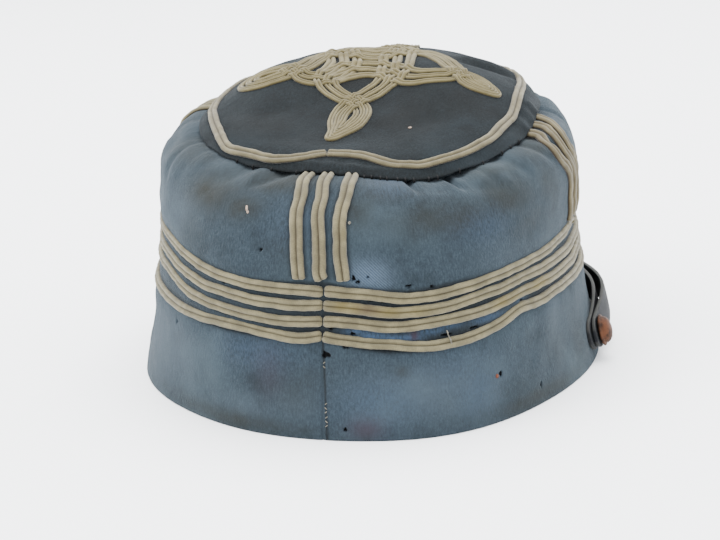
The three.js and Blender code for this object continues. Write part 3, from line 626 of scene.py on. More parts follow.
def dress_wall(node, name, levels=WOOL_LEVELS):
    mesh = smooth_copy(node, levels)
    refine(mesh, levels)
    points = points_of(mesh)
    away = outward(points, normals_of(mesh))
    points = points - away * (wall_relief(points) * MM)[:, None]
    points[:, 2] = np.maximum(points[:, 2], 0.02 * MM)
    points[:, 2] += right_rise(points) * MM
    angles, heights = round_cap(points)
    under_lip = np.exp(-((aside(angles, 1) / BACK_TOP_SPREAD) ** 2))
    under_lip *= ease((heights - BACK_TOP_ABOVE) / 3)
    points[:, 2] += BACK_TOP_RISE * under_lip
    move_points(mesh, points)
    angles, heights = round_cap(points)
    for mark, table in (("soil", BROWN_STAINS), ("faded", FADED), ("purple", PURPLE), ("bare", BARE)):
        note(mesh, mark, marks(points, table))
    fresh = marks(points, FRESH_BLUE)
    note(mesh, "fresh", fresh)
    # Where the moth holes get their painted shade.
    note(mesh, "hole_shade", holes(points))
    # Dirt and painted shade against the braids, kept off the fresh blue patches.
    note(mesh, "grime_and_shade", grime_and_shade_by_braid(points) * (1 - 0.9 * fresh.clip(0, 1)))
    unroll(mesh, np.radians(angles) * WALL_RADIUS, heights * MM)
    return piece_from(mesh, name, blue_wool, "wool", node)


band_cloth = dress_wall("band", "band_cloth")
crown_cloth = dress_wall("crown_side", "crown_cloth", WOOL_LEVELS - 1)

# Crown disc: an oval of the same wool, grey with soil, domed by wear, with its edge turned under
# and sewn down as a lip over the gathers. Soft folds run across its right side.
DISC_LEVELS = 3
LIP_DROP = 0.9 * MM
LIP_SWELL = 0.5 * MM
LIP_OVER_BRAID = 0.25 * MM
OVER_BRAID_REACH = 3.6
disc_low, disc_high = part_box("crown_disc")
DISC_MIDDLE = np.array([(disc_low.x + disc_high.x) / 2, (disc_low.y + disc_high.y) / 2])

# Folds in the plan: millimetres to the wearer's left and back of the disc's middle.
DISC_FOLDS = (
    ("long crease", (-31, -8), (-49, -14), 2.6, 1.6),
    ("ridge beside it", (-29, -14), (-47, -20), 3.0, -1.0),
    ("far crease", (-27, -26), (-44, -27), 3.0, 1.4),
    ("notch by the ring", (-44, -26), (-49, -24), 2.2, 1.3),
    ("left crease", (34, 34), (20, 30), 5.0, 0.8),
    ("left hollow", (46, 20), (40, 30), 4.0, 1.0),
    ("right dip", (-30, 30), (-14, 38), 6.0, 0.9),
    ("middle dip", (6, 62), (-20, 60), 3.0, 0.5),
    ("fore crease", (20, -34), (36, -20), 5.0, 0.9),
)

# Soiled places of the disc: as above, half length each way in millimetres, strength.
DISC_SOIL = ((-16, 30, 14, 12, 0.6), (20, 40, 26, 12, 0.45), (-34, 24, 12, 10, 0.35), (0, 0, 24, 24, 0.5))


def disc_plan(points):
    return (points[:, 0] - DISC_MIDDLE[0]) / MM, (points[:, 1] - DISC_MIDDLE[1]) / MM


def rim_share(left, back):
    """How far out a point of the disc lies, from 0 in its middle to 1 at its edge."""
    angles = np.degrees(np.arctan2(-left, back)) % FULL_TURN
    far = np.hypot(left, back)
    bins = np.linspace(0, FULL_TURN, 61)
    middles = (bins[:-1] + bins[1:]) / 2
    edge = [far[(angles >= low) & (angles < high)].max() for low, high in zip(bins[:-1], bins[1:])]
    return far / np.interp(angles, middles, edge, period=FULL_TURN)


def over_uprights(points):
    """1 where the lip lies over the head of an upright braid, down to 0 some millimetres aside."""
    angles, _ = round_cap(points)
    over = np.zeros(len(points))
    for place, number in UPRIGHTS:
        head, _ = round_cap(upright_line(place, number)[-1:])
        over = np.maximum(over, np.exp(-((aside(angles, head[0]) / OVER_BRAID_REACH) ** 2)))
    return over


def dress_disc():
    mesh = smooth_copy("crown_disc", DISC_LEVELS, 0)
    points = points_of(mesh)
    left, back = disc_plan(points)
    depth = np.zeros(len(points))
    for _, (x, y), (to_x, to_y), width, deep in DISC_FOLDS:
        depth += crease(left - x, back - y, to_x - x, to_y - y, width, deep)
    depth += 0.8 * waves(points, 24 * MM, 5) + 0.25 * waves(points, 8 * MM, 6)
    depth += 0.06 * waves(points, 2.5 * MM, 7)
    points[:, 2] -= depth * MM
    reach = rim_share(left, back)
    roll = ease((reach - 0.88) / 0.12)
    over = over_uprights(points)
    points[:, 2] -= LIP_DROP * roll * (1 + 0.8 * waves(points, 9 * MM, 8)) * (1 - 0.8 * over)
    points[:, 2] += LIP_OVER_BRAID * over * ease((reach - 0.87) / 0.10)
    points[:, 2] += right_rise(points) * MM
    points[:, 2] += LIP_SWELL * np.exp(-(((reach - 0.955) / 0.025) ** 2))
    move_points(mesh, points)
    soil = np.zeros(len(points))
    for x, y, half_across, half_back, strength in DISC_SOIL:
        away = ((left - x) / half_across) ** 2 + ((back - y) / half_back) ** 2
        soil = np.maximum(soil, strength * np.exp(-away))
    note(mesh, "soil", soil)
    for name in ("fresh", "hole_shade", "faded", "purple", "bare"):
        note(mesh, name, np.zeros(len(points)))
    # Dirt and painted shade on the lip's outermost, turned-down edge.
    note(mesh, "grime_and_shade", 0.35 * ease((reach - 0.985) / 0.015))
    unroll(mesh, points[:, 0], points[:, 1])
    return piece_from(mesh, "disc_cloth", grey_wool, "disc_wool", "crown_disc")


grey_wool = wool_finish("soiled wool", "101314", "20262a", "090a0b", "100f0d", 0.07)
disc_cloth = dress_disc()

# Braid rows, uprights and ring: flat soutache of drab wool plaited over two cords, laid on the
# wool and sewn down along its groove. Each level row ends at the back seam.
BRAID_STEP = 0.6 * MM
BRAID_SINK = 0.12 * MM
BRAID_WOBBLE = 0.3 * MM
WOBBLE_LENGTH = 7 * MM
SWELL_LENGTH = 2.2 * MM
BRAID_END_ROUND = 1.3 * MM
CUT_END_ROUND = 0.35 * MM
ROW_WIDTH = 3.6 * MM
ROW_THICKNESS = 1.35 * MM
ROW_END_REACH = 0.25 * MM
UPRIGHT_WIDTH = 4.3 * MM
UPRIGHT_THICKNESS = 1.5 * MM
UPRIGHT_TUCK = 6 * MM
RING_WIDTH = 3.7 * MM

# A braid's path finds the cloth from this far outside it. Below this height the walls are upright,
# and the path moves out level.
CLEAR_OF_CLOTH = 2.5 * MM
STEEP_BELOW = 55 * MM

# The section of a braid, two ribs beside a groove, in shares of its width and thickness.
SOUTACHE = (
    (-0.46, 0.00), (-0.50, 0.28), (-0.45, 0.66), (-0.34, 0.93), (-0.22, 1.00), (-0.10, 0.84),
    (0.00, 0.46),
    (0.10, 0.84), (0.22, 1.00), (0.34, 0.93), (0.45, 0.66), (0.50, 0.28), (0.46, 0.00), (0.00, -0.05),
)


def surface_of(*pieces):
    """The cloth that braid is laid on, as one searchable surface with a direction at each point."""
    places, normals, faces, start = [], [], [], 0
    for piece in pieces:
        mesh = piece.data
        places.append(points_of(mesh))
        normals.append(normals_of(mesh))
        faces.extend([tuple(start + corner for corner in face.vertices) for face in mesh.polygons])
        start += len(mesh.vertices)
    places = np.vstack(places)
    normals = np.vstack(normals)
    return BVHTree.FromPolygons(places.tolist(), faces), normals, faces


wall_surface = surface_of(band_cloth, crown_cloth)
disc_surface = surface_of(disc_cloth)


def evened(points, step, closed=False):
    """The same path with points an even step apart, on a smooth curve through the given ones."""
    points = np.asarray(points, float)
    if closed:
        points = np.vstack([points[-1:], points, points[:2]])
    else:
        points = np.vstack([2 * points[:1] - points[1:2], points, 2 * points[-1:] - points[-2:-1]])
    fine = []
    for a, b, c, d in zip(points[:-3], points[1:-2], points[2:-1], points[3:]):
        for t in np.linspace(0, 1, 12, endpoint=False):
            fine.append(
                0.5 * (2 * b + (c - a) * t + (2 * a - 5 * b + 4 * c - d) * t * t
                       + (3 * b - a - 3 * c + d) * t**3)
            )
    fine = np.array(fine + [points[-2]])
    length = np.concatenate([[0], np.cumsum(np.linalg.norm(np.diff(fine, axis=0), axis=1))])
    count = max(4, int(round(length[-1] / step)))
    stops = np.linspace(0, length[-1], count + 1)
    if closed:
        stops = stops[:-1]
    return np.stack([np.interp(stops, length, fine[:, axis]) for axis in range(fine.shape[1])], 1)


def laid(path, cloth, closed=False, calm=5):
    """Drops a path onto a cloth. Gives its points there and the smoothed way that it faces."""
    tree, normals, faces = cloth
    spots, faces_up = [], []
    head = Vector((*CAP_AXIS, HEAD_MIDDLE))
    for place in path:
        under, way, _, _ = tree.find_nearest(Vector(place))
        out = under - head
        if under.z < STEEP_BELOW:
            way = Vector((out.x, out.y, 0)).normalized()
        elif way.dot(out) < 0:
            way = -way
        spot, _, face, _ = tree.find_nearest(under + way * CLEAR_OF_CLOTH)
        spots.append(spot)
        faces_up.append(normals[list(faces[face])].mean(0))
    spots = np.array(spots)
    faces_up = np.array(faces_up)
    ends = {"mode": "wrap"} if closed else {"mode": "reflect", "reflect_type": "odd"}
    kernel = np.hanning(2 * calm + 3)[1:-1]
    kernel /= kernel.sum()
    smooth = [
        np.convolve(np.pad(column, calm, **ends), kernel, "valid")
        for column in np.hstack([spots, faces_up]).T
    ]
    spots = np.stack(smooth[:3], 1)
    faces_up = np.stack(smooth[3:], 1)
    return spots, faces_up / np.linalg.norm(faces_up, axis=1, keepdims=True)


def braid_strip(made, spots, ups, width, height, lift=None, closed=False, seed=0, end=BRAID_END_ROUND):
    """Adds one length of soutache to a bmesh: a grid wrapped round the braid's section."""
    steps = len(spots)
    before = np.roll(spots, 1, 0)
    after = np.roll(spots, -1, 0)
    if not closed:
        before[0] = spots[0]
        after[-1] = spots[-1]
    along = after - before
    sides = np.cross(along, ups)
    sides /= np.linalg.norm(sides, axis=1, keepdims=True)
    travel = np.concatenate([[0], np.cumsum(np.linalg.norm(np.diff(spots, axis=0), axis=1))])
    wobble = np.array([noise.noise(Vector((t / WOBBLE_LENGTH, seed * 3.7, 0.5))) for t in travel])
    swell = np.array([noise.noise(Vector((t / SWELL_LENGTH, seed * 1.9, 9.5))) for t in travel])
    rounded = np.ones(steps)
    if closed:
        fade = ease(np.minimum(travel, travel[-1] - travel) / (10 * MM))
        wobble, swell = wobble * fade, swell * fade
    else:
        from_end = np.clip(np.minimum(travel, travel[-1] - travel) / end, 0, 1)
        rounded = 0.25 + 0.75 * np.sqrt(1 - (1 - from_end) ** 2)
    spots = spots + sides * (BRAID_WOBBLE * wobble)[:, None]
    widths = width * (1 + 0.07 * swell) * (0.55 + 0.45 * rounded)
    heights = height * (1 + 0.12 * swell) * rounded
    lift = np.zeros(steps) if lift is None else lift
    ring = list(SOUTACHE) + [SOUTACHE[0]]
    lengthwise = steps + 1 if closed else steps
    columns = made.loops.layers.uv.get("cloth") or made.loops.layers.uv.new("cloth")
    grid = bmesh.ops.create_grid(made, x_segments=len(ring) - 1, y_segments=lengthwise - 1, size=0.5)
    corners = grid["verts"]
    for i in range(lengthwise):
        at = i % steps
        base = spots[at] + ups[at] * (lift[at] - BRAID_SINK)
        for j, (across, high) in enumerate(ring):
            place = base + sides[at] * (across * widths[at]) + ups[at] * (high * heights[at])
            corners[i * len(ring) + j].co = place
    total = travel[-1] + (np.linalg.norm(spots[-1] - spots[0]) if closed else 0)
    order = {corner: number for number, corner in enumerate(corners)}
    for face in {face for corner in corners for face in corner.link_faces}:
        for loop in face.loops:
            number = order[loop.vert]
            i, j = divmod(number, len(ring))
            loop[columns].uv = (total * i / (lengthwise - 1), j / (len(ring) - 1))
    ends = []
    if not closed:
        for row in (0, lengthwise - 1):
            ends.append([corners[row * len(ring) + j] for j in range(len(ring) - 1)])
    bmesh.ops.remove_doubles(made, verts=corners, dist=0.001 * MM)
    return [[vert for vert in end if vert.is_valid] for end in ends]


def soutache_piece(name, strips, finish, material_slot, *nodes):
    """Lays lengths of soutache and joins them as one piece."""
    made = bmesh.new()
    for strip in strips:
        for end in braid_strip(made, **strip):
            bmesh.ops.contextual_create(made, geom=end)
    bmesh.ops.recalc_face_normals(made, faces=made.faces)
    return piece_from(mesh_from(made, name), name, finish, material_slot, *nodes)


def soutache_finish():
    braid = Finish("drab soutache", {
        "Roughness": 0.85,
        "Specular IOR Level": 0.25,
        "Sheen Weight": 0.15,
        "Sheen Roughness": 0.5,
    })
    flat = braid.node("UVMap", {"uv_map": "cloth"}, {})
    apart = braid.node("SeparateXYZ", {}, {0: flat})
    travel = Tone(braid, apart.socket.node.outputs[0])
    across = Tone(braid, apart.socket.node.outputs[1])
    rib = (across * 2.0 - 1.0).sum_up("ABSOLUTE", across * 2.0 - 1.0)
    lean = travel * (2 * math.pi / (0.7 * MM)) + rib * 14.0
    plait = lean.sum_up("SINE", lean) * 0.5 + 0.5
    place = braid.place()
    wear = braid.cloud(place, 5 * MM, 3.0, 0.6)
    thread = braid.cloud(place, 0.5 * MM, 2.0, 0.6)
    braid.feed("Base Color", braid.layered(
        "524c36",
        ("676046", wear.span(0.35, 0.7)),
        ("3c3628", thread.span(0.45, 0.75) * 0.40),
        ("352e20", (1.0 - plait) * 0.14),
        # Dirt and painted shade in the braid's groove and along its edges.
        ("1a130a", braid.kept("groove_dirt_and_shade")),
        ("54481a", braid.kept("yellowed")),
        # Brown stains, and painted shade on the right uprights, as a dark brown.
        ("2f1f0e", braid.kept("brown_stain_and_shade")),
    ))
    braid.raise_by(plait * 0.5 + thread * 0.6, 0.10 * MM, 0.7)
    return braid.material


drab_soutache = soutache_finish()


# Stains on the braid: place and size as for the marks on the walls. The browned marks at 66 and 84 degrees
# are painted shade over the right uprights.
YELLOWED = (
    (4.5, 42.4, 3.5, 2.2, 0.55), (6.5, 41.6, 3, 2.2, 0.5), (13, 40.2, 5, 2.2, 0.5), (18, 39.4, 5, 2.2, 0.3),
    (38, 37.2, 4, 2.2, 0.6), (42, 37.4, 4, 2.2, 0.4), (52, 38.2, 8, 2.4, 0.6), (7, 64, 4, 3, 0.3),
)
BROWN_STAINS_AND_SHADE = (
    (8.8, 41.0, 3.2, 2.2, 0.6), (10.4, 40.4, 2.5, 1.5, 0.4), (66, 80, 14, 12, 0.35), (84, 72, 22, 18, 0.30),
    (0, 60, 14, 30, 0.08), (180, 60, 60, 40, 0.12),
)


def shade_soutache(piece, groove_depth=0.65, yellow=0.0, brown_and_shade=0.0):
    """Notes where a braid's groove and edges are darkened by dirt and painted shade, where it has yellowed,
    and where it is browned by stains and, on the right uprights, by painted shade.
    """
    mesh = piece.data
    layout = np.empty(len(mesh.loops) * 2, np.float32)
    mesh.uv_layers["cloth"].data.foreach_get("uv", layout)
    corners = np.empty(len(mesh.loops), np.int32)
    mesh.loops.foreach_get("vertex_index", corners)
    across = np.zeros(len(mesh.vertices))
    across[corners] = layout.reshape(-1, 2)[:, 1] % 1.0
    step = 1 / len(SOUTACHE)
    # The groove and the edges of the section darken: dirt, and painted shade in the recess and where the
    # braid meets the cloth.
    groove_dirt_and_shade = groove_depth * np.exp(-(((across - 6 * step) / (0.75 * step)) ** 2))
    edge = np.where((across < 1.3 * step) | (across > 10.8 * step), groove_depth, 0.0)
    note(mesh, "groove_dirt_and_shade", np.maximum(groove_dirt_and_shade, edge))
    note(mesh, "yellowed", np.maximum(yellow, marks(points_of(mesh), YELLOWED)))
    note(mesh, "brown_stain_and_shade", np.maximum(brown_and_shade, marks(points_of(mesh), BROWN_STAINS_AND_SHADE)))


for row in (1, 2, 3, 4):
    node = f"band_braid_{row}"
    middles = ring_middles(node, from_front)
    for end, inner in ((0, 1), (-1, -2)):
        way = middles[end] - middles[inner]
        middles[end] += way / np.linalg.norm(way) * ROW_END_REACH
    spots, ups = laid(evened(middles, BRAID_STEP), wall_surface, calm=22)
    strip = {"spots": spots, "ups": ups, "width": ROW_WIDTH, "height": ROW_THICKNESS, "seed": row}
    piece = soutache_piece(f"row_{row}", [strip], drab_soutache, "braid", node)
    shade_soutache(piece)

for place, number in UPRIGHTS:
    node = f"{place}_braid_{number}"
    middles = upright_line(place, number)
    inward = np.append(DISC_MIDDLE - middles[-1, :2], 0)
    inward *= UPRIGHT_TUCK / np.linalg.norm(inward)
    middles = np.vstack([middles, middles[-1] + inward])
    spots, ups = laid(evened(middles, BRAID_STEP), wall_surface)
    strip = {
        "spots": spots, "ups": ups, "width": UPRIGHT_WIDTH, "height": UPRIGHT_THICKNESS,
        "seed": 10 + number, "end": CUT_END_ROUND,
    }
    piece = soutache_piece(f"{place}_upright_{number}", [strip], drab_soutache, "braid", node)
    # The right uprights are given painted shade as a brown tint.
    shade_soutache(piece, 0.85, brown_and_shade=0.3 if place == "right" else 0.0)

# The ring's path in the plan, in millimetres to the wearer's left and the back of the band's own
# middle, from one side of its gap round by the wearer's right to the other.
RING_PATH = (
    (2.8, 57.6), (-3.7, 57.4), (-8.6, 57.5), (-14.1, 59.0), (-18.4, 59.6), (-23.1, 59.0), (-27.4, 58.0),
    (-33.5, 54.9), (-38.3, 51.9), (-43.9, 46.4), (-47.9, 40.3), (-51.3, 30.5), (-53.6, 22.1),
    (-54.7, 10.4), (-54.7, -1.3), (-54.1, -14.8), (-51.0, -24.0), (-46.5, -34.0), (-38.0, -46.0),
    (-24.0, -56.5), (-8.0, -61.0), (8.0, -60.5), (25.0, -54.5), (37.5, -42.0), (45.5, -25.0),
    (49.5, -8.0), (50.7, 8.0), (50.0, 19.4), (46.7, 31.0), (42.2, 41.8), (37.6, 50.6), (32.4, 54.7),
    (27.4, 57.3), (22.6, 59.7), (17.9, 61.1), (12.4, 60.7), (8.1, 59.2), (2.75, 57.7),
)
PLAN_MIDDLE_Y = (band_low.y + band_high.y) / 2 - 0.43 * MM


def on_disc(plan):
    """Drops plan points onto the crown disc."""
    down = Vector((0, 0, -1))
    return np.array([
        disc_surface[0].ray_cast(Vector((x, y + PLAN_MIDDLE_Y, 0.2)), down)[0] for x, y in plan
    ])


ring_way = on_disc(evened(np.array(RING_PATH) * MM, BRAID_STEP))
spots, ups = laid(ring_way, disc_surface)
ring_strip = {
    "spots": spots, "ups": ups, "width": RING_WIDTH, "height": ROW_THICKNESS, "seed": 30,
    "end": CUT_END_ROUND,
}
ring_braid = soutache_piece("ring_soutache", [ring_strip], drab_soutache, "braid", "crown_ring_braid")
shade_soutache(ring_braid, 0.75, brown_and_shade=0.14)

# Crown knot: six closed lengths of narrow soutache, three side by side in each of two loops. Every
# loop twists over itself into a leaf at two opposite ends, and the loops weave into a close mat in
# the middle, over and under by turns.
KNOT_STEP = 0.5 * MM
KNOT_WIDTH = 2.1 * MM
WIDEST_KNOT = 3.7 * MM
KNOT_THICKNESS = 1.15 * MM
CROSSING_REACH = 1.5 * MM
CROSSING_LIFT = 0.85 * MM
CROSSING_DIP = 0.25 * MM
DEEPEST_DIP = 0.3 * MM

# The middle braid of each loop: millimetres to the wearer's left and to the back, and how far
# apart the three braids lie there.
REAR_FORE_LOOP = (
    (3.6, 43.6, 3.3), (3.6, 38.6, 2.3), (3.7, 33.0, 2.0), (2.6, 27.4, 2.05), (-0.5, 22.8, 2.3),
    (-4.6, 17.6, 2.7), (-8.6, 12.0, 3.0), (-11.5, 6.0, 4.4), (-11.8, -1.0, 4.8), (-11.4, -8.0, 4.8),
    (-12.6, -14.5, 4.2), (-12.2, -20.5, 3.0), (-9.8, -25.0, 2.6), (-6.4, -28.5, 2.3),
    (-4.2, -32.5, 2.2), (-5.4, -37.0, 2.2), (-8.6, -40.5, 2.8), (-11.6, -37.6, 2.2),
    (-12.0, -33.0, 2.2), (-9.6, -28.6, 2.3), (-6.2, -25.2, 2.6), (-0.6, -22.0, 3.0),
    (6.0, -18.6, 3.4), (9.4, -13.0, 4.2), (8.2, -7.0, 4.6), (7.0, -1.0, 4.6), (8.8, 5.5, 4.2),
    (11.4, 11.5, 3.2), (9.2, 15.8, 2.8), (4.4, 19.6, 2.6), (-0.8, 22.8, 2.3), (-4.0, 26.6, 2.15),
    (-3.8, 31.4, 2.0), (-1.0, 37.6, 2.2),
)
SIDE_LOOP = (
    (39.4, 9.4, 2.9), (36.8, 13.6, 2.8), (32.0, 13.8, 2.7), (27.0, 11.6, 2.6), (22.6, 7.6, 2.7),
    (19.4, 1.6, 3.0), (16.6, -5.0, 3.2), (12.0, -10.6, 3.6), (5.0, -11.0, 4.0), (-2.5, -10.4, 4.0),
    (-10.0, -11.6, 4.0), (-17.0, -13.2, 3.4), (-23.0, -9.4, 2.9), (-28.0, -2.8, 2.8),
    (-32.6, 4.6, 2.5), (-36.6, 11.6, 2.1), (-40.8, 14.8, 1.9), (-45.2, 14.6, 1.8), (-47.4, 12.9, 1.8),
    (-44.6, 10.6, 1.8), (-40.2, 8.6, 1.9), (-36.0, 8.8, 2.2), (-31.4, 10.6, 2.7), (-24.6, 10.6, 2.9),
    (-17.6, 9.0, 3.3), (-10.0, 3.8, 3.9), (-2.0, 1.4, 4.0), (5.4, 4.2, 4.0), (12.0, 10.6, 3.3),
    (18.0, 11.8, 2.9), (22.8, 8.4, 2.7), (27.2, 4.4, 2.6), (33.0, 3.8, 2.6), (37.8, 4.8, 2.8),
)


# The eye and the tip of each leaf, in the same millimetres.
LEAVES = (
    ((0.6, 33.0), (3.6, 43.4)),
    ((32.8, 9.2), (39.4, 9.4)),
    ((-40.6, 11.4), (-47.4, 12.9)),
    ((-8.2, -34.6), (-8.6, -40.5)),
)


def loop_braids(table):
    """The plan paths of a loop's three braids, in metres. In a leaf they nest about its eye."""
    middle = evened(np.array(table) * MM, KNOT_STEP, closed=True)
    ahead = np.roll(middle[:, :2], -2, 0) - np.roll(middle[:, :2], 2, 0)
    ahead /= np.linalg.norm(ahead, axis=1, keepdims=True)
    left = np.stack([-ahead[:, 1], ahead[:, 0]], 1)
    for eye, tip in LEAVES:
        axis = np.array(tip) - eye
        length = np.linalg.norm(axis)
        out = middle[:, :2] / MM - eye
        far = np.linalg.norm(out, axis=1)
        share = ease((out @ axis) / length / (0.5 * length)) * (far < 1.4 * length)
        out /= far[:, None]
        out *= np.sign((out * left).sum(1))[:, None]
        left = left * (1 - share)[:, None] + out * share[:, None]
        left /= np.linalg.norm(left, axis=1, keepdims=True)
    paths = []
    for side in (-1, 0, 1):
        path = middle[:, :2] + left * (side * middle[:, 2:])
        for _ in range(3):
            path = (np.roll(path, 1, 0) + 2 * path + np.roll(path, -1, 0)) / 4
        spread = np.clip(0.8 * middle[:, 2], KNOT_WIDTH, WIDEST_KNOT)
        paths.append(evened(np.column_stack([path, spread]), KNOT_STEP, closed=True))
    return paths


def crossings(first, second, same):
    """Where two closed paths cross: the step on each, with a fraction."""
    a, b = first, np.roll(first, -1, 0)
    c, d = second, np.roll(second, -1, 0)
    r, s = b - a, d - c
    gap = c[None] - a[:, None]
    cross = r[:, None, 0] * s[None, :, 1] - r[:, None, 1] * s[None, :, 0]
    cross = np.where(abs(cross) < 1e-18, 1e-18, cross)
    t = (gap[..., 0] * s[None, :, 1] - gap[..., 1] * s[None, :, 0]) / cross
    u = (gap[..., 0] * r[:, None, 1] - gap[..., 1] * r[:, None, 0]) / cross
    found = np.argwhere((t >= 0) & (t < 1) & (u >= 0) & (u < 1))
    if same:
        found = [(i, j) for i, j in found if i < j and 3 < j - i < len(first) - 3]
    return [(i + t[i, j], j + u[i, j]) for i, j in found]


def weave(paths):
    """For each path, its crossings as (step, over or under), over and under by turns."""
    meetings = []
    for i, first in enumerate(paths):
        for j in range(i, len(paths)):
            for here, there in crossings(first, paths[j], i == j):
                meetings.append(((i, here), (j, there)))
    turns = {
        i: sorted(end[1] for meeting in meetings for end in meeting if end[0] == i)
        for i in range(len(paths))
    }
    rank = {(i, step): k for i, steps in turns.items() for k, step in enumerate(steps)}
    phase = {0: 0}
    waiting = [0]
    while waiting:
        here = waiting.pop()
        for one, other in meetings:
            for mine, yours in ((one, other), (other, one)):
                if mine[0] == here and yours[0] not in phase:
                    phase[yours[0]] = (phase[here] + rank[mine] + rank[yours] + 1) % 2
                    waiting.append(yours[0])
    return [
        [(step, (phase[i] + k) % 2 == 0) for k, step in enumerate(turns[i])] for i in range(len(paths))
    ]


knot_paths = [path for loop in (REAR_FORE_LOOP, SIDE_LOOP) for path in loop_braids(loop)]
knot_strips = []
knot_turns = weave([path[:, :2] for path in knot_paths])
for number, (wide_path, turns) in enumerate(zip(knot_paths, knot_turns)):
    path = wide_path[:, :2]
    spots, ups = laid(on_disc(path), disc_surface, closed=True, calm=4)
    place = np.arange(len(path))
    lift = np.zeros(len(path))
    for step, over in turns:
        away = (place - step + len(path) / 2) % len(path) - len(path) / 2
        bump = np.exp(-((away * KNOT_STEP / CROSSING_REACH) ** 2))
        lift = np.maximum(lift, bump * CROSSING_LIFT) if over else lift - bump * CROSSING_DIP
    knot_strips.append({
        "spots": spots, "ups": ups, "width": wide_path[:, 2], "height": KNOT_THICKNESS,
        "lift": np.maximum(lift, -DEEPEST_DIP), "closed": True, "seed": 40 + number,
    })
knot = soutache_piece("knot_soutache", knot_strips, drab_soutache, "braid", "crown_knot")
shade_soutache(knot, 0.85, 0.35)

# Stitches and loose bits: dark overcast stitches under the lip, pale thread showing along the back
# seam, loose ends of thread on the walls and over the lowest row, and specks caught in the nap.
STITCH_STEP = 0.2 * MM

# Degrees round to each stitch of the lip, and the height and lean of each stitch of the back seam.
LIP_STITCHES = (9, 11, 13, 15, 18, 20, 22, 26, 29, 36, 44, 52, 56, 61, 330, 336, 343, 350)
SEAM_STITCHES = ((11.6, 1), (10.1, -1), (8.8, 1), (7.4, 1), (5.9, -1), (4.6, 1), (24.4, 1), (22.9, -1))

# Thread ends on the walls: start and end as degrees round and millimetres up, and thickness.
PALE_BITS = (
    ((24.1, 32.4), (24.7, 27.6), 0.42), ((53.0, 37.2), (53.6, 36.6), 0.60),
    ((40.5, 36.3), (40.9, 35.8), 0.50), ((352.9, 79.6), (353.9, 79.2), 0.50),
    ((5.7, 66.8), (6.1, 66.3), 0.90), ((12.6, 34.6), (13.0, 34.9), 0.40),
)

# Specks: degrees round, millimetres up, half length and half width in millimetres.
CHIPS = ((342.4, 69.9, 1.1, 0.45), (342.9, 68.9, 0.5, 0.4))
RUST_SPOTS = ((34.5, 14.8, 0.75, 0.7),)
DISC_CHIP = (-21.2, 35.4, 0.9, 0.65)
CHIP_THICKNESS = 0.3 * MM


def plain_finish(name, colour, other, roughness):
    plain = Finish(name, {"Specular IOR Level": 0.2})
    spots = plain.cloud(plain.place(), 0.6 * MM, 3.0, 0.6)
    plain.feed("Base Color", plain.layered(colour, (other, spots.span(0.4, 0.65))))
    plain.feed("Roughness", (spots * 0.2 + roughness).clip())
    plain.raise_by(spots, 0.05 * MM, 0.5)
    return plain.material


pale_thread = plain_finish("pale thread", "6e6a60", "565248", 0.75)
dark_thread = plain_finish("dark thread", "0a0a0b", "141414", 0.75)
shell_chip = plain_finish("pale chip", "8a7a6c", "5a4a40", 0.55)
rust = plain_finish("rust", "5a3222", "3a1e14", 0.8)


def on_wall(angle, height):
    """The point of the walls' face at a place, and the way it faces."""
    turn = math.radians(angle)
    out = Vector((-math.sin(turn), math.cos(turn), 0))
    start = Vector((*CAP_AXIS, height * MM)) + out * 0.2
    spot, face, _, _ = wall_surface[0].ray_cast(start, -out)
    return np.array(spot), np.array(face) * (1 if face.dot(out) > 0 else -1)


def wall_thread(start, end, thickness, seed):
    stops = np.linspace(0, 1, 7)[:, None]
    places = np.array(start) * (1 - stops) + np.array(end) * stops
    found = [on_wall(angle, height) for angle, height in places]
    spots = evened(np.array([spot for spot, _ in found]), STITCH_STEP)
    ups = np.tile(found[3][1], (len(spots), 1))
    above = np.array([height - row_height(ROWS[0], angle) for angle, height in places])
    over_row = np.exp(-((above / 2.2) ** 2))
    lift = np.interp(np.linspace(0, 1, len(spots)), stops[:, 0], over_row) * ROW_THICKNESS
    return {
        "spots": spots, "ups": ups, "width": thickness * MM, "height": 0.8 * thickness * MM,
        "lift": lift + 0.1 * MM, "seed": seed, "end": CUT_END_ROUND,
    }


def seam_stitch(height, lean):
    angle = seam_angle(height)
    start = (angle - 0.22, height - 0.3 * lean)
    end = (angle + 0.22, height + 0.3 * lean)
    return wall_thread(start, end, 0.28, height)


pale = [wall_thread(*bit, number) for number, bit in enumerate(PALE_BITS)]
pale += [seam_stitch(height, lean) for height, lean in SEAM_STITCHES]
soutache_piece("pale_threads", pale, pale_thread, "braid")


def lip_stitch(angle):
    """A short dark stitch from the lip's edge down into the crown wall."""
    rim = points_of(disc_cloth.data)
    angles, _ = round_cap(rim)
    near = rim[abs(aside(angles, angle)) < 1.0]
    edge = near[np.hypot(*(near[:, :2] - CAP_AXIS).T).argmax()]
    out = np.append(edge[:2] - CAP_AXIS, 0)
    out /= np.linalg.norm(out)
    top = edge - out * 0.5 * MM + (0, 0, 0.7 * MM)
    foot = edge - (0, 0, 1.1 * MM)
    spots = evened(np.array([top, edge + out * 0.25 * MM, foot]), STITCH_STEP)
    return {
        "spots": spots, "ups": np.tile(out, (len(spots), 1)), "width": 0.5 * MM, "height": 0.4 * MM,
        "seed": angle, "end": CUT_END_ROUND,
    }


soutache_piece("lip_stitches", [lip_stitch(angle) for angle in LIP_STITCHES], dark_thread, "braid")


def chip(made, spot, up, half_length, half_width):
    """Adds a small flattened grain to a bmesh."""
    turn = Vector((0, 0, 1)).rotation_difference(Vector(up)).to_matrix().to_4x4()
    shape = Matrix.Diagonal((half_width * MM, half_length * MM, CHIP_THICKNESS, 1))
    place = Matrix.Translation(Vector(spot)) @ turn @ shape
    bmesh.ops.create_icosphere(made, subdivisions=3, radius=1.0, matrix=place)


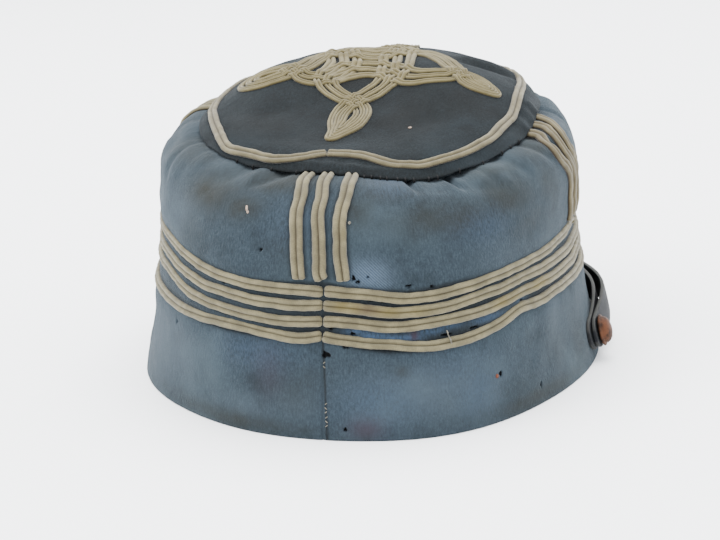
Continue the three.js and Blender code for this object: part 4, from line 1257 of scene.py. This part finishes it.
def chip_piece(name, chips, finish, material_slot):
    made = bmesh.new()
    for spot, up, half_length, half_width in chips:
        chip(made, spot, up, half_length, half_width)
    return piece_from(mesh_from(made, name), name, finish, material_slot)


disc_spot = on_disc(np.array([DISC_CHIP[:2]]) * MM)[0]
pale_chips = [(*on_wall(angle, height), long, wide) for angle, height, long, wide in CHIPS]
pale_chips.append((disc_spot, (0, 0, 1), *DISC_CHIP[2:]))
chip_piece("pale_chips", pale_chips, shell_chip, "braid")
rust_chips = [(*on_wall(angle, height), long, wide) for angle, height, long, wide in RUST_SPOTS]
chip_piece("rust_chips", rust_chips, rust, "copper")

# Peak and chin strap: blackened leather, the peak one stiff crescent and the strap two layers
# with rounded edges, the strap worn grey along its edges, and both scuffed in patches.
LEATHER_LEVELS = 3
LEATHER_EDGE_ROUND = 0.35 * MM
LEATHER_RIPPLE = 0.12 * MM


def leather_finish(name, base, worn):
    leather = Finish(name, {"Specular IOR Level": 0.14})
    place = leather.place()
    grain = leather.node(
        "TexVoronoi", {"feature": "DISTANCE_TO_EDGE"}, {"Vector": place, "Scale": 1 / (0.9 * MM)}
    )
    scuff = leather.cloud(place, 9 * MM, 4.0, 0.6)
    fine = leather.cloud(place, 1.2 * MM, 3.0, 0.6)
    leather.feed("Base Color", leather.layered(
        base,
        (worn, scuff.span(0.45, 0.75) * 0.3),
        (worn, leather.kept("edge") * (0.4 + fine * 0.8)),
    ))
    leather.feed("Roughness", (0.50 + scuff * 0.35).clip())
    leather.raise_by(grain.span(0.0, 0.25) * 0.5 + fine * 0.5, 0.12 * MM, 0.6)
    return leather.material


black_leather = leather_finish("black leather", "0b0b0c", "24231f")
grey_leather = leather_finish("dusty strap leather", "131417", "3a3a37")


def dress_leather(node, name, finish):
    mesh = smooth_copy(node, LEATHER_LEVELS, LEATHER_EDGE_ROUND)
    points = points_of(mesh)
    normals = normals_of(mesh)
    points += normals * (LEATHER_RIPPLE * waves(points, 7 * MM, 12))[:, None]
    move_points(mesh, points)
    edge = np.zeros(len(points))
    if node != "peak":
        slope = 1 - abs((normals * np.array([0, 0, 1])).sum(1))
        edge = 1 - ease(slope * 1.2)
    note(mesh, "edge", edge)
    return piece_from(mesh, name, finish, "leather", node)


dress_leather("peak", "peak_leather", black_leather)
dress_leather("chin_strap_inner", "strap_inner_leather", grey_leather)
dress_leather("chin_strap_outer", "strap_outer_leather", grey_leather)

# Buttons: domed copper shells spun over a back plate, dull brown with handling, one at each end of
# the strap.
BUTTON_SIDES = 48
DOME_SHARE = 0.82
BUTTON_PROFILE = (
    (0.0, 0.0), (0.84, 0.0), (0.94, 0.05), (1.0, 0.14), (0.98, 0.24), (0.90, 0.28), (0.86, 0.34),
    (0.84, 0.46), (0.74, 0.68), (0.56, 0.86), (0.30, 0.97), (0.0, 1.0),
)


def copper_finish():
    copper = Finish("tarnished copper", {"Metallic": 0.55, "Specular IOR Level": 0.3})
    place = copper.place()
    tarnish = copper.cloud(place, 3 * MM, 4.0, 0.6)
    pits = copper.cloud(place, 0.7 * MM, 3.0, 0.6)
    copper.feed("Base Color", copper.layered(
        "4c2c19",
        ("26170d", tarnish.span(0.4, 0.7)),
        ("120c08", pits.span(0.6, 0.85) * 0.7),
    ))
    copper.feed("Roughness", (0.50 + tarnish * 0.3).clip())
    copper.raise_by(pits, 0.08 * MM, 0.5)
    return copper.material


copper = copper_finish()


def dress_button(node):
    """Spins a domed shell and turns it to stand where the node stands, facing the same way."""
    corners = corners_of(node)
    centre = corners.mean(0)
    spread = np.linalg.eigh(np.cov((corners - centre).T))
    way = spread[1][:, 0]
    if way[0] * (centre[0] - CAP_AXIS[0]) < 0:
        way = -way
    heights = (corners - centre) @ way
    seat = centre + way * heights.min()
    tall = heights.max() - heights.min()
    across = np.linalg.norm((corners - centre) - np.outer(heights, way), axis=1).max()
    shell = bmesh.new()
    profile = [shell.verts.new((out * across, 0, up * tall * DOME_SHARE)) for out, up in BUTTON_PROFILE]
    edges = [shell.edges.new(pair) for pair in zip(profile[:-1], profile[1:])]
    bmesh.ops.spin(
        shell, geom=profile + edges, cent=(0, 0, 0), axis=(0, 0, 1), angle=2 * math.pi,
        steps=BUTTON_SIDES, use_merge=True,
    )
    bmesh.ops.remove_doubles(shell, verts=shell.verts, dist=WELD)
    turn = Vector((0, 0, 1)).rotation_difference(Vector(way)).to_matrix().to_4x4()
    bmesh.ops.transform(shell, matrix=Matrix.Translation(Vector(seat)) @ turn, verts=shell.verts)
    bmesh.ops.recalc_face_normals(shell, faces=shell.faces)
    return piece_from(mesh_from(shell, node), node + "_shell", copper, "copper", node)


dress_button("button_right")
dress_button("button_left")

# Table, light and camera: a pale seamless table under soft studio light, seen from behind the cap
# and a little to the wearer's right.
TABLE_HALF_WIDTH = 4.0
SKY_COLOUR = (0.93, 0.96, 1.0, 1)
SKY_STRENGTH = 3.5
table = bmesh.new()
bmesh.ops.create_grid(table, x_segments=2, y_segments=2, size=TABLE_HALF_WIDTH)
table_mesh = mesh_from(table, "table")
table_top = object_from("table", table_mesh)
white = Finish("table white", {"Base Color": (0.95, 0.952, 0.955, 1), "Roughness": 0.7})
table_mesh.materials.append(white.material)

world = bpy.data.worlds.new("studio")
bpy.context.scene.world = world
world.use_nodes = True
sky = world.node_tree.nodes["Background"].inputs
sky["Color"].default_value = SKY_COLOUR
sky["Strength"].default_value = SKY_STRENGTH


def softbox(name, place, aim, size, power):
    light = bpy.data.lights.new(name, "AREA")
    light.energy = power
    light.shape = "RECTANGLE"
    light.size = size[0]
    light.size_y = size[1]
    lamp = object_from(name, light)
    lamp.location = place
    lamp.rotation_euler = (Vector(aim) - Vector(place)).to_track_quat("-Z", "Y").to_euler()


softbox("key", (1.1, 0.9, 1.5), (0, 0, 0.05), (1.2, 1.2), 30)
softbox("top", (0.0, -0.5, 1.9), (0, -0.4, 0.05), (1.8, 1.8), 90)

# The camera: millimetres, metres and pixels of the picture, where the middle of the base is seen.
LENS = 85.0
SENSOR = 36.0
PICTURE = (720, 540)
CAMERA_DISTANCE = 0.625
CAMERA_RISE = math.radians(17.5)
CAMERA_TURN = math.radians(190)
CAMERA_ROLL = math.radians(2.27)
BASE_SHOWS_AT = (374.2, 344.7)
camera_data = bpy.data.cameras.new("camera")
camera_data.lens = LENS
camera_data.sensor_width = SENSOR
camera = object_from("camera", camera_data)
bpy.context.scene.camera = camera
base = Vector((0, PLAN_MIDDLE_Y, 0))
back_way = Vector((
    math.sin(CAMERA_TURN) * math.cos(CAMERA_RISE),
    -math.cos(CAMERA_TURN) * math.cos(CAMERA_RISE),
    math.sin(CAMERA_RISE),
))
pixels_per_unit = PICTURE[0] * LENS / SENSOR
shows = Vector((
    (BASE_SHOWS_AT[0] - PICTURE[0] / 2) / pixels_per_unit,
    -(BASE_SHOWS_AT[1] - PICTURE[1] / 2) / pixels_per_unit,
    -1,
))
right_way = (-back_way).cross(Vector((0, 0, 1))).normalized()
up_way = right_way.cross(-back_way)
upright = Matrix((right_way, up_way, back_way)).transposed()
rolled = upright @ Matrix.Rotation(-CAMERA_ROLL, 3, "Z")
pointed = rolled @ Vector((0, 0, -1)).rotation_difference(shows).to_matrix().inverted()
camera.matrix_world = Matrix.Translation(base + back_way * CAMERA_DISTANCE) @ pointed.to_4x4()
